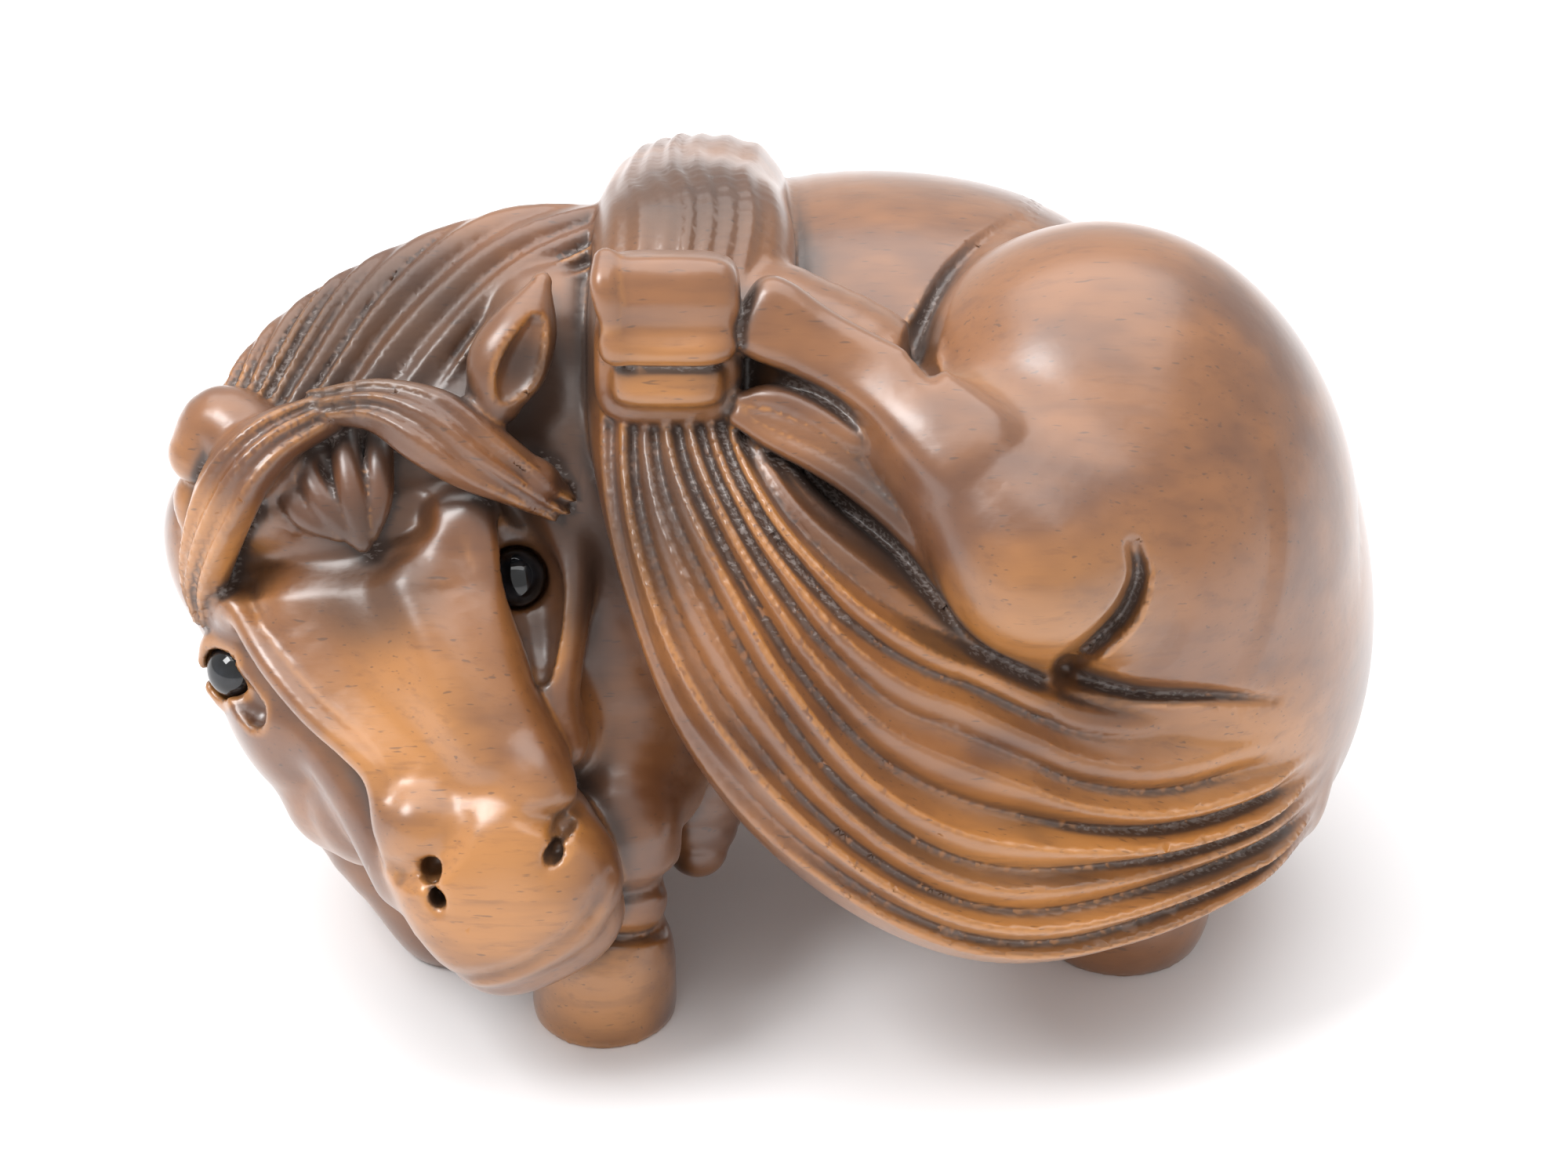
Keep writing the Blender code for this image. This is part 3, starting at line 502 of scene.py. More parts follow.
def skull(clay):
    """Skull, face plate between its two ridges, brows and cheeks."""
    face = tuple(FACE_WAY)
    clay.add(ball(on_head(0, -2.2, -4.6), (6.0, 6.0, 4.8), HEAD_AXES), 0.8)
    clay.add(ball(on_head(-4.6, -5.0, -4.4), (2.6, 4.2, 3.8), HEAD_AXES), 1.2)
    clay.add(strap([row + face for row in on_head_rows([
        (0.5, -3.8, -3.1, 4.9, 2.6), (0.4, -2.2, -2.1, 4.5, 2.6), (-0.3, -0.4, -1.7, 3.7, 2.6),
        (0.0, 2.0, -1.5, 3.0, 2.6), (0.5, 4.0, -1.5, 2.4, 2.6), (0.7, 5.5, -1.7, 2.3, 2.6),
        (0.9, 7.5, -2.1, 2.6, 2.5), (0.9, 9.0, -2.6, 3.2, 2.4)])], squareness=3.4), 0.6)
    # from the right ridge down to the eye socket and the nostril
    clay.add(head_tube([
        (3.9, -1.0, -0.8, 1.3), (3.7, 1.8, -0.75, 1.6), (3.4, 4.3, -0.75, 1.6),
        (3.5, 6.6, -1.0, 1.5)]), 1.3)
    # the cheek behind the left eye's socket, down to the jaw
    clay.add(head_tube([
        (8.0, -1.0, -2.4, 0.8), (7.9, 0.4, -2.4, 0.8), (7.4, 1.6, -2.3, 0.8),
        (6.7, 2.8, -2.2, 0.8), (5.9, 4.0, -2.2, 0.8), (5.1, 5.2, -2.3, 0.9),
        (4.6, 6.6, -2.6, 1.0)]), 0.5)
    # from the left ridge down to the cheek
    clay.add(head_tube([
        (-3.9, 1.6, -1.8, 1.2), (-3.1, 3.9, -1.9, 1.4), (-2.7, 6.3, -2.0, 1.5),
        (-2.6, 8.6, -2.2, 1.5)]), 0.9)
    for side in (-1, 1):
        clay.add(ball(on_head(side * 4.7, 0.4, -5.4), (2.9, 4.9, 4.6), HEAD_AXES), 0.8)
        clay.add(ball(on_head(side * 3.9, 5.0, -5.0), (2.3, 2.8, 3.2), HEAD_AXES), 0.6)
    clay.add(ball(on_head(-5.3, 4.3, -5.2), (1.7, 2.2, 2.2), HEAD_AXES), 0.5)
    # the hollow between the two ridges of the nose, and the ridges
    clay.engrave(on_head_rows([
        (-1.2, -1.0, 0.9, 1.8, 0.2), (-0.9, 1.6, 1.1, 1.9, 0.4), (0.2, 4.4, 1.0, 1.5, 0.4),
        (0.6, 6.3, 0.8, 1.4, 0.1)]), FACE_WAY, sharp=0.2)
    clay.add(head_tube([
        (-4.2, -3.0, -0.4, 0.5), (-3.6, -0.4, 0.5, 0.5), (-2.8, 2.0, 0.8, 0.5),
        (-1.9, 3.9, 0.85, 0.5), (-1.5, 5.2, 0.75, 0.5), (-1.8, 6.8, 0.4, 0.6),
        (-2.2, 8.2, -0.3, 0.6)]), 0.5)
    clay.add(head_tube([
        (2.3, -0.5, 0.1, 1.1), (2.4, 1.6, 0.3, 1.15), (2.5, 3.9, 0.25, 1.15),
        (2.7, 6.2, 0.0, 1.15)]), 0.8)
    # brow over the left eye and the rim of its socket
    clay.add(ball(on_head(4.9, -2.2, -0.9), (1.5, 1.3, 1.3), HEAD_AXES), 0.8)
    clay.add(head_tube([
        (5.6, -2.2, -0.4, 0.6), (5.5, -1.1, -0.3, 0.6), (5.0, 0.4, -0.4, 0.6),
        (4.5, 2.0, -0.4, 0.6), (4.3, 3.5, -0.9, 0.6)]), 0.5)
    clay.add(ball(on_head(-4.4, -3.1, -1.6), (1.1, 1.2, 1.4), HEAD_AXES), 0.6)
    # the forehead lies below the brows
    clay.engrave(on_head_rows([
        (-4.4, -4.5, 0.2, 1.2, 0.3), (-1.2, -3.4, 0.4, 1.7, 0.5), (1.2, -2.6, 0.6, 1.5, 0.5),
        (3.4, -2.8, 0.4, 1.3, 0.4)]), FACE_WAY, sharp=0.1)


def eye_sockets(clay):
    """A long deep hollow around each bead, with the lids of the right eye as thin crescents."""
    clay.cut(head_tube([
        (6.2, -1.1, -1.2, 0.7), (6.2, 0.6, -1.5, 1.25), (5.9, 2.0, -1.6, 1.05),
        (5.5, 3.2, -1.7, 0.75), (5.2, 4.1, -1.6, 0.4)]), 0.2)
    clay.cut(head_tube([
        (-6.5, -1.9, -1.3, 0.6), (-6.2, -0.7, -1.0, 0.8), (-5.4, 0.8, -1.3, 0.6)]), 0.3)
    clay.add(head_tube([
        (-6.8, -2.0, -2.6, 0.4), (-6.2, -2.4, -2.1, 0.45), (-5.5, -2.2, -1.7, 0.45),
        (-5.0, -1.7, -1.5, 0.4), (-4.8, -0.9, -1.6, 0.35)]), 0.3)
    clay.add(head_tube([
        (-7.1, -1.0, -2.9, 0.35), (-6.8, -0.3, -2.8, 0.4), (-6.2, 0.1, -2.5, 0.4),
        (-5.5, 0.2, -2.2, 0.35), (-4.9, 0.0, -2.0, 0.3)]), 0.2)
    for centre, radius in BEADS.values():
        clay.cut(ball(centre, radius + BEAD_GAP), 0.15)


def muzzle(clay):
    """Boxy muzzle with two nostril lobes, drilled nostrils, and the mouth's line below the lip."""
    end_way = unit(MUZZLE_WAY * 0.9 - FACE_WAY * 0.42)
    top_way = unit(FACE_WAY * 0.9 + MUZZLE_WAY * 0.42)
    axes = (ACROSS_WAY, end_way, top_way)
    clay.add(block(on_head(0.6, 10.1, -2.4), (3.9, 3.9, 3.1), axes, 2.8), 0.7)
    clay.add(block(on_head(0.5, 11.6, -3.9), (3.6, 2.9, 2.4), axes, 2.6), 0.3)
    clay.add(ball(on_head(-0.9, 7.3, -0.2), (1.6, 1.6, 1.7), HEAD_AXES), 0.5)
    clay.add(ball(on_head(3.7, 7.6, -0.6), (1.4, 1.9, 1.6), HEAD_AXES), 0.5)
    clay.add(ball(on_head(3.7, 11.1, -2.2), (1.2, 1.8, 1.7), HEAD_AXES), 0.7)
    # the undercut below each lobe
    clay.engrave(on_head_rows([
        (-2.6, 8.3, 0.0, 0.5, 0.1), (-1.6, 9.1, 0.9, 0.8, 0.45), (-0.2, 8.9, 1.0, 0.8, 0.35),
        (1.0, 8.2, 1.1, 0.6, 0.1)]))
    clay.engrave(on_head_rows([
        (2.9, 8.9, 1.0, 0.5, 0.1), (3.9, 9.4, 0.7, 0.7, 0.4), (4.7, 9.3, -0.3, 0.5, 0.2)]))
    hole = NOSTRIL_DIAMETER / 2
    for across, along, out, size in ((-1.1, 9.4, 1.0, 1.1), (-1.3, 10.4, 0.6, 0.7),
                                     (3.8, 10.1, 0.6, 1.0), (3.2, 10.8, 0.5, 0.7)):
        clay.cut(head_tube([
            (across, along, out + 0.5, hole * size),
            (across + 0.2, along - 0.5, out - 1.2, hole * size)]), 0.15)
    clay.engrave(on_head_rows([(-1.1, 9.3, 1.0, 0.5, 0.15), (-1.3, 10.6, 0.6, 0.5, 0.15)]))
    clay.engrave(on_head_rows([(3.9, 10.0, 0.7, 0.5, 0.15), (3.1, 10.9, 0.6, 0.5, 0.15)]))
    # the mouth
    clay.engrave(on_head_rows([
        (-3.4, 11.2, -1.9, 0.4, 0.1), (-2.6, 12.8, -1.6, 0.45, 0.2), (-0.6, 13.5, -1.3, 0.45, 0.2),
        (1.4, 13.5, -1.2, 0.45, 0.2), (3.2, 12.9, -1.5, 0.45, 0.2), (4.4, 11.8, -2.2, 0.4, 0.1)]))


def lock_relief(share, across):
    """Three strands along a lock."""
    return 0.3 * (lock((across + 1) * 1.5 + 0.25 * np.sin(5 * share), 0.5) - 0.6)


def forelock(clay):
    """A fan of wedges on the forehead, and a lock that parts from it over each brow."""
    for rows in (
            [(0.4, -7.3, 0.1, 0.5), (-0.7, -6.3, 0.6, 0.65),
             (-1.0, -5.4, 0.7, 0.55), (-0.6, -4.5, 0.6, 0.3)],
            [(0.2, -6.9, 0.3, 0.5), (-0.1, -5.6, 0.9, 0.65),
             (0.2, -4.5, 1.0, 0.55), (0.9, -3.5, 0.9, 0.3)],
            [(1.2, -7.0, 0.4, 0.5), (0.8, -6.0, 1.0, 0.55),
             (1.0, -4.6, 1.1, 0.6), (1.4, -3.1, 0.8, 0.35)],
            [(2.5, -6.9, 0.4, 0.5), (2.3, -5.7, 1.0, 0.6),
             (2.0, -4.3, 1.1, 0.6), (1.6, -2.8, 0.8, 0.35)],
            [(3.6, -6.3, 0.1, 0.5), (3.3, -5.2, 0.7, 0.55),
             (2.8, -4.0, 0.8, 0.5), (2.0, -3.0, 0.7, 0.3)]):
        clay.add(head_tube(rows), 0.1)
    clay.add(strap([
        (-16.9, -4.8, 24.4, 0.8, 0.8, -0.2, -0.7, 0.7),
        (-18.6, -5.8, 24.1, 1.05, 0.9, -0.4, -0.8, 0.5),
        (-19.8, -6.4, 23.2, 1.25, 0.9, -0.5, -0.8, 0.4),
        (-20.6, -6.6, 21.8, 1.3, 0.9, -0.5, -0.8, 0.3),
        (-21.2, -6.3, 19.9, 1.15, 0.9, -0.6, -0.8, 0.2),
        (-21.7, -5.7, 17.8, 0.95, 0.8, -0.6, -0.8, 0.2),
        (-21.8, -5.4, 16.2, 0.6, 0.6, -0.6, -0.8, 0.2)], lock_relief, squareness=2.4), 0.2)
    clay.add(strap([
        (-16.9, -4.8, 24.8, 0.7, 0.7, -0.1, -0.7, 0.7),
        (-14.9, -5.4, 25.2, 1.0, 0.8, 0.0, -0.7, 0.7),
        (-13.0, -6.3, 24.9, 1.45, 0.9, 0.1, -0.7, 0.6),
        (-11.4, -6.7, 24.0, 1.4, 0.9, 0.1, -0.8, 0.5),
        (-9.9, -6.6, 22.9, 1.1, 0.9, 0.1, -0.8, 0.5),
        (-8.6, -6.3, 21.8, 0.8, 0.8, 0.1, -0.9, 0.4)], lock_relief, squareness=2.4), 0.2)
    clay.add(ball((-9.1, -6.5, 22.5), (0.9, 0.8, 0.95)), 0.3)


def ears(clay):
    """The left ear pricked up, a leaf with its hollow to the front, and the right ear laid back as
    two rounded lumps."""
    clay.add(strap([
        (-10.6, -5.0, 25.4, 1.1, 1.2, 0.2, -0.8, 0.4),
        (-10.1, -4.8, 26.6, 1.5, 1.2, 0.2, -0.8, 0.4),
        (-9.4, -4.0, 27.8, 1.2, 1.0, 0.2, -0.8, 0.4),
        (-8.9, -3.0, 28.9, 0.4, 0.5, 0.2, -0.8, 0.4)]), 0.4)
    clay.cut(tube([
        (-10.0, -6.1, 26.2, 0.5), (-9.6, -6.0, 26.8, 0.85), (-9.3, -5.5, 27.5, 0.75),
        (-9.0, -4.8, 28.2, 0.4)]), 0.1)
    clay.add(tube([(-19.3, -4.8, 22.7, 1.7), (-20.8, -3.9, 23.4, 1.5), (-21.7, -4.2, 22.4, 1.2)]), 0.4)
    clay.add(tube([(-21.2, -3.6, 21.0, 1.1), (-22.0, -4.0, 20.2, 0.9), (-21.9, -4.4, 18.8, 0.6)]), 0.3)


def short_legs(clay):
    """Left foreleg with its hoof, and the far legs, folded with their cannons on the ground."""
    clay.add(tube([(-6.1, -5.0, 11.5, 3.0), (-6.1, -8.7, 9.4, 2.3), (-6.1, -9.3, 8.2, 2.2)]), 0.6)
    clay.add(tube([(-6.0, -9.3, 7.0, 1.65), (-6.3, -9.3, 4.0, 1.7)]), 0.1)
    clay.add(tube([(-6.7, -9.0, 4.2, 1.9), (-6.9, -9.1, 2.6, 2.65), (-7.0, -9.1, 0.6, 2.8)]), 0.15)
    # the coronet, above the hoof, and the fold of the pastern
    clay.engrave([
        (-8.6, -9.6, 5.0, 0.5, 0.1), (-7.4, -10.7, 4.9, 0.5, 0.35), (-6.0, -10.9, 4.8, 0.5, 0.45),
        (-4.7, -10.2, 4.6, 0.5, 0.45), (-4.1, -8.9, 4.5, 0.5, 0.3)])
    clay.engrave([
        (-7.6, -10.9, 7.2, 0.6, 0.1), (-6.0, -10.9, 7.0, 0.6, 0.25), (-4.8, -10.3, 6.8, 0.6, 0.35),
        (-4.2, -9.3, 6.6, 0.6, 0.3)])
    clay.add(tube([(-17.0, 1.5, 9.0, 4.0), (-16.0, -2.5, 5.0, 3.0), (-13.0, -4.8, 2.0, 2.6)]), 1.2)
    clay.add(tube([(-13.0, -4.8, 2.0, 2.6), (-12.6, 0.5, 1.7, 2.4), (-11.0, 6.0, 2.0, 2.4)]), 1.2)
    clay.add(tube([(-3.6, -2.0, 9.0, 3.5), (-3.4, -5.0, 4.6, 1.2)]), 0.6)
    clay.add(tube([(15.0, 0.0, 8.0, 6.0), (13.6, -3.0, 4.0, 4.2), (13.4, -4.2, 1.6, 3.6)]), 1.2)
    clay.add(tube([(13.4, -3.0, 2.2, 3.0), (12.6, 2.0, 1.9, 2.8), (11.0, 7.0, 2.2, 2.8)]), 1.2)


def carve(points, reach):
    """The whole carving, standing on z = 0."""
    clay = Carving(points, reach)
    for form in (body, raised_leg, tail, raised_hoof, mane, skull, muzzle, eye_sockets,
                 forelock, ears, short_legs):
        form(clay)
    clay.distances = np.maximum(clay.distances, -points[:, 2])
    return clay


# From the field to a mesh

def sampled(distance, low, high, step):
    """The distances on a grid, from coarse to fine, worked out only near the surface."""
    cells = np.ceil((high - low) / (4 * step)).astype(int)
    values = None
    for level in (4, 2, 1):
        size = cells * (4 // level) + 1
        if values is None:
            finer = np.zeros(size)
            wanted = np.ones(size, bool)
        else:
            nearest = [np.minimum((np.arange(n) + 1) // 2, m - 1) for n, m in zip(size, values.shape)]
            finer = values[np.ix_(*nearest)]
            wanted = np.abs(finer) < 3.2 * level * step
        places = low + np.argwhere(wanted) * (step * level)
        parts = [distance(some, 1.8 * level * step)
                 for some in np.array_split(places, max(1, len(places) // POINTS_AT_ONCE))]
        finer[wanted] = np.concatenate(parts)
        values = finer
    return values


def surface_quads(values, low, step):
    """One vertex in each cell that the surface crosses, at the middle of its crossings with the
    cell's edges, and one quad around each grid edge that the surface crosses."""
    inside = values < 0
    corners = [(i, j, k) for i in (0, 1) for j in (0, 1) for k in (0, 1)]
    ends = (slice(0, -1), slice(1, None))
    count = sum(inside[ends[i], ends[j], ends[k]].astype(np.int8) for i, j, k in corners)
    cells = np.argwhere((count > 0) & (count < 8))
    number = np.full(np.array(values.shape) - 1, -1)
    number[tuple(cells.T)] = np.arange(len(cells))
    total = np.zeros((len(cells), 3))
    hits = np.zeros(len(cells))
    for corner in corners:
        for axis in range(3):
            if corner[axis]:
                continue
            other = np.array(corner)
            other[axis] = 1
            one = values[tuple((cells + corner).T)]
            two = values[tuple((cells + other).T)]
            crossed = (one < 0) != (two < 0)
            place = np.tile(np.array(corner, float), (crossed.sum(), 1))
            place[:, axis] = one[crossed] / (one[crossed] - two[crossed])
            total[crossed] += place
            hits[crossed] += 1
    vertices = (cells + total / hits[:, None]) * step + low
    quads = []
    for axis in range(3):
        first, second = (axis + 1) % 3, (axis + 2) % 3
        near = [slice(1, -1)] * 3
        far = [slice(1, -1)] * 3
        near[axis], far[axis] = ends
        edges = np.argwhere(inside[tuple(near)] != inside[tuple(far)])
        edges[:, first] += 1
        edges[:, second] += 1
        outward = inside[tuple(edges.T)]
        ring = []
        for back_one, back_two in ((1, 1), (0, 1), (0, 0), (1, 0)):
            cell = edges.copy()
            cell[:, first] -= back_one
            cell[:, second] -= back_two
            ring.append(number[tuple(cell.T)])
        ring = np.stack(ring, 1)
        ring[~outward] = ring[~outward][:, ::-1]
        quads.append(ring)
    return vertices, np.vstack(quads)


def distance_at(points, reach):
    """The carving's distances, worked out for a share of the points at a time."""
    parts = np.array_split(points, max(1, len(points) // POINTS_AT_ONCE))
    return np.concatenate([carve(some, reach).distances for some in parts])


def slope_at(points, step):
    """The field's slope, from the distances on both sides along each axis."""
    sides = [distance_at(points + way * step, REACH) - distance_at(points - way * step, REACH)
             for way in np.eye(3)]
    return np.stack(sides, 1) / (2 * step)


def drawn_tight(points):
    """The points moved along the field's slope by their distance, so that they lie on the surface."""
    slope = slope_at(points, SLOPE_STEP)
    steep = np.maximum((slope**2).sum(1), 0.25)
    move = -(distance_at(points, REACH) / steep)[:, None] * slope
    length = np.linalg.norm(move, axis=1)
    return points + move * np.minimum(1, LONGEST_MOVE / np.maximum(length, 1e-9))[:, None]


def outer_shell(vertices, faces):
    """The largest connected surface, which leaves out bubbles between forms inside the solid."""
    label = np.arange(len(vertices))
    while True:
        lowest = label[faces].min(axis=1)
        joined = label.copy()
        np.minimum.at(joined, faces.ravel(), np.repeat(lowest, faces.shape[1]))
        joined = joined[joined]
        if (joined == label).all():
            break
        label = joined
    names, sizes = np.unique(label, return_counts=True)
    keep = label == names[sizes.argmax()]
    number = np.cumsum(keep) - 1
    return vertices[keep], number[faces[keep[faces[:, 0]]]]


def surface_marks(points):
    """How each point of the surface sits, as shares from 0 to 1.

    A recess is where the field, a short way out along the slope, is smaller than that way, as other
    wood is near. A hollow is the same further out. A crest is where, a short way in, the field is
    shallower than that way. Wear and painted light, and dust and painted shade, lie near the listed
    spots."""
    slope = slope_at(points, MARK_SLOPE_STEP)
    out = slope / np.maximum(np.linalg.norm(slope, axis=1), 1e-6)[:, None]
    marks = {}
    for name, way in MARK_WAYS.items():
        marks[name] = 1 - distance_at(points + out * way, abs(way) + MARK_REACH) / way
    for name, spots in (("wear_and_light", WEAR_AND_LIGHT_SPOTS), ("dark", DUST_AND_SHADE_SPOTS)):
        marks[name] = np.zeros(len(points))
        for x, y, z, size in spots:
            away = np.sqrt(((points - (x, y, z)) ** 2).sum(1))
            marks[name] = np.maximum(marks[name], np.clip(1 - away / size, 0, 1))
    return marks


# Objects

def new_mesh(name, vertices, faces):
    """A mesh from arrays: vertices in metres, and faces that all have the same number of corners."""
    corners = faces.shape[1]
    mesh = bpy.data.meshes.new(name)
    mesh.vertices.add(len(vertices))
    mesh.vertices.foreach_set("co", vertices.astype(np.float32).ravel())
    mesh.loops.add(faces.size)
    mesh.loops.foreach_set("vertex_index", faces.astype(np.int32).ravel())
    mesh.polygons.add(len(faces))
    mesh.polygons.foreach_set("loop_start", np.arange(len(faces), dtype=np.int32) * corners)
    mesh.update(calc_edges=True)
    mesh.shade_smooth()
    return mesh


def add_object(name, mesh):
    """An object at the origin, unturned, with this mesh."""
    thing = bpy.data.objects.new(name, mesh)
    bpy.context.scene.collection.objects.link(thing)
    return thing


def thinned(mesh, triangles):
    """The mesh with no more than so many triangles, fewest where it is smooth."""
    thing = add_object("to thin out", mesh)
    thin = thing.modifiers.new("thin out", "DECIMATE")
    thin.ratio = min(1.0, triangles / (2 * len(mesh.polygons)))
    thin.use_collapse_triangulate = True
    graph = bpy.context.evaluated_depsgraph_get()
    result = thing.evaluated_get(graph).to_mesh()
    result.calc_loop_triangles()
    vertices = np.empty(len(result.vertices) * 3, np.float32)
    result.vertices.foreach_get("co", vertices)
    faces = np.empty(len(result.loop_triangles) * 3, np.int32)
    result.loop_triangles.foreach_get("vertices", faces)
    bpy.data.objects.remove(thing)
    return vertices.reshape(-1, 3).astype(float), faces.reshape(-1, 3)


def keep_attribute(mesh, name, values):
    """One share from 0 to 1 for each vertex, for the finish to read."""
    layer = mesh.attributes.new(name, "FLOAT", "POINT")
    layer.data.foreach_set("value", np.clip(values, 0, 1).astype(np.float32))


def bead_surface(centre, radius, columns=48, rows=24):
    """A sphere: z is the cosine of the first parameter, and x and y are its sine times the cosine
    and sine of the second. The poles are one vertex each."""
    down = np.linspace(0, math.pi, rows + 1)[1:-1, None]
    around = np.linspace(0, 2 * math.pi, columns, endpoint=False)[None, :]
    ring = np.stack([np.sin(down) * np.cos(around), np.sin(down) * np.sin(around),
                     np.cos(down) * np.ones_like(around)], -1).reshape(-1, 3)
    vertices = np.vstack([[0, 0, 1], ring, [0, 0, -1]]) * radius + centre
    first = 1 + np.arange(columns)
    after = 1 + (np.arange(columns) + 1) % columns
    top = np.stack([np.zeros(columns, int), first, after, after], 1)
    start = (np.arange(rows - 2) * columns)[:, None]
    middle = np.stack([start + first, start + columns + first, start + columns + after,
                       start + after], -1).reshape(-1, 4)
    last = len(vertices) - 1
    base = last - columns - 1
    bottom = np.stack([np.full(columns, last), base + after, base + first, base + first], 1)
    triangles = np.vstack([top[:, :3], middle[:, [0, 1, 2]], middle[:, [0, 2, 3]], bottom[:, :3]])
    return vertices, triangles


# Finishes

def linear(hex_colour):
    """An sRGB colour such as 8f6242 as linear red, green, blue and alpha."""
    parts = [int(hex_colour[i:i + 2], 16) / 255 for i in (0, 2, 4)]
    return [p / 12.92 if p <= 0.04045 else ((p + 0.055) / 1.055) ** 2.4 for p in parts] + [1.0]


def add_node(tree, kind, inputs=None, **settings):
    """A node with its own settings, and inputs that are plain values or the outputs that feed them."""
    node = tree.nodes.new(kind)
    for name, value in settings.items():
        setattr(node, name, value)
    for name, value in (inputs or {}).items():
        if isinstance(value, bpy.types.NodeSocket):
            tree.links.new(value, node.inputs[name])
        else:
            node.inputs[name].default_value = value
    return node


def boxwood(colours, gloss):
    """Boxwood, carved with knives, stained brown, waxed and polished by hand: a warm close-grained
    wood with soft highlights. The stain stays dark in the cuts and is rubbed through to the yellow
    wood at the listed spots of wear; the same yellow tone is also painted light on flanks that face
    down or aside, and the dark spots and the wide hollows carry painted shade. Pores are short dark
    flecks along the grain, which runs along X."""
    material = bpy.data.materials.new("stained waxed boxwood, hand carved")
    material.use_nodes = True
    tree = material.node_tree
    shader = tree.nodes["Principled BSDF"]
    place = add_node(tree, "ShaderNodeTexCoord").outputs["Object"]
    marks = {name: add_node(tree, "ShaderNodeAttribute", attribute_name=name).outputs["Fac"]
             for name in ("recess", "hollow", "crest", "wear_and_light", "dark")}
    noise = {}
    for name, size, along, detail in WOOD_PATTERNS:
        at = add_node(tree, "ShaderNodeMapping", {
            "Vector": place, "Scale": (1 / (size * along * MM), 1 / (size * MM), 1 / (size * MM))})
        noise[name] = add_node(tree, "ShaderNodeTexNoise", {
            "Vector": at.outputs[0], "Scale": 1.0, "Detail": detail, "Roughness": 0.6}).outputs["Fac"]
    # the marks, made uneven: wax, wear, painted light and painted shade never end on an even line
    deep = add_node(tree, "ShaderNodeMath", {0: noise["mottle"], 1: 0.25, 2: marks["recess"]},
                    operation="MULTIPLY_ADD").outputs[0]
    # rubbed-through wood, and painted light on flanks that face down or aside
    rubbed_and_lit = add_node(tree, "ShaderNodeMath", {0: noise["clouds"], 1: 0.6, 2: marks["wear_and_light"]},
                      operation="MULTIPLY_ADD").outputs[0]
    # dust, and painted shade under parts and between them, made uneven
    grime_and_shade = add_node(tree, "ShaderNodeMath", {0: noise["clouds"], 1: 0.5, 2: marks["dark"]},
                     operation="MULTIPLY_ADD").outputs[0]
    dusty = add_node(tree, "ShaderNodeMath", {0: noise["specks"], 1: deep},
                     operation="MULTIPLY").outputs[0]
    # each layer: where, from and to which value it sets in, its most, and its colour
    colour = linear(colours.stain_dark)
    for where, first, full, most, layer in (
            (noise["clouds"], 0.3, 0.65, 1.0, colours.stain),
            # the yellow wood where the stain is rubbed through, and painted light on flanks that face
            # down or aside
            (rubbed_and_lit, 0.4, 1.1, 0.8, colours.wear_and_light),
            (noise["figure"], 0.5, 0.75, 0.3, colours.stain_dark),
            (noise["grain"], 0.52, 0.72, 0.3, colours.stain_dark),
            (marks["crest"], 0.15, 0.7, 0.6, colours.wear_and_light),
            # dust darkens here, and painted shade lies under parts and between them
            (grime_and_shade, 0.3, 0.9, 0.75, colours.patina_and_shade),
            (noise["pores"], 0.66, 0.76, 0.5, colours.patina_and_shade),
            # patina in the wide hollows, and painted shade between parts
            (marks["hollow"], 0.3, 0.95, 0.6, colours.patina_and_shade),
            (deep, 0.3, 0.85, 0.8, colours.patina_and_shade),
            (dusty, 0.52, 0.64, 0.25, colours.dust)):
        share = add_node(tree, "ShaderNodeMapRange", {
            "Value": where, "From Min": first, "From Max": full, "To Max": most},
            interpolation_type="SMOOTHSTEP").outputs[0]
        # a Mix node's sockets 0, 6 and 7 are its factor and its two colours
        colour = add_node(tree, "ShaderNodeMix", {0: share, 6: colour, 7: linear(layer)},
                          data_type="RGBA").outputs[2]
    tree.links.new(colour, shader.inputs["Base Color"])
    rough = add_node(tree, "ShaderNodeMapRange", {
        "Value": deep, "From Min": 0.2, "From Max": 0.7, "To Min": gloss, "To Max": gloss + 0.3})
    tree.links.new(rough.outputs[0], shader.inputs["Roughness"])
    # the wax is rubbed to a gloss, but less in the dark spots, which hold dust and painted shade
    wax = add_node(tree, "ShaderNodeMapRange", {
        "Value": marks["dark"], "From Max": 0.6, "To Min": 1.0, "To Max": 0.35})
    tree.links.new(wax.outputs[0], shader.inputs["Coat Weight"])
    shader.inputs["IOR"].default_value = 1.5
    shader.inputs["Coat Roughness"].default_value = 0.28
    # knife marks and raised grain, a few hundredths of a millimetre high
    uneven = add_node(tree, "ShaderNodeMath", {0: noise["grain"], 1: 0.25, 2: noise["knife"]},
                      operation="MULTIPLY_ADD")
    bump = add_node(tree, "ShaderNodeBump", {
        "Height": uneven.outputs[0], "Strength": 0.5, "Distance": 0.06 * MM})
    tree.links.new(bump.outputs[0], shader.inputs["Normal"])
    return material


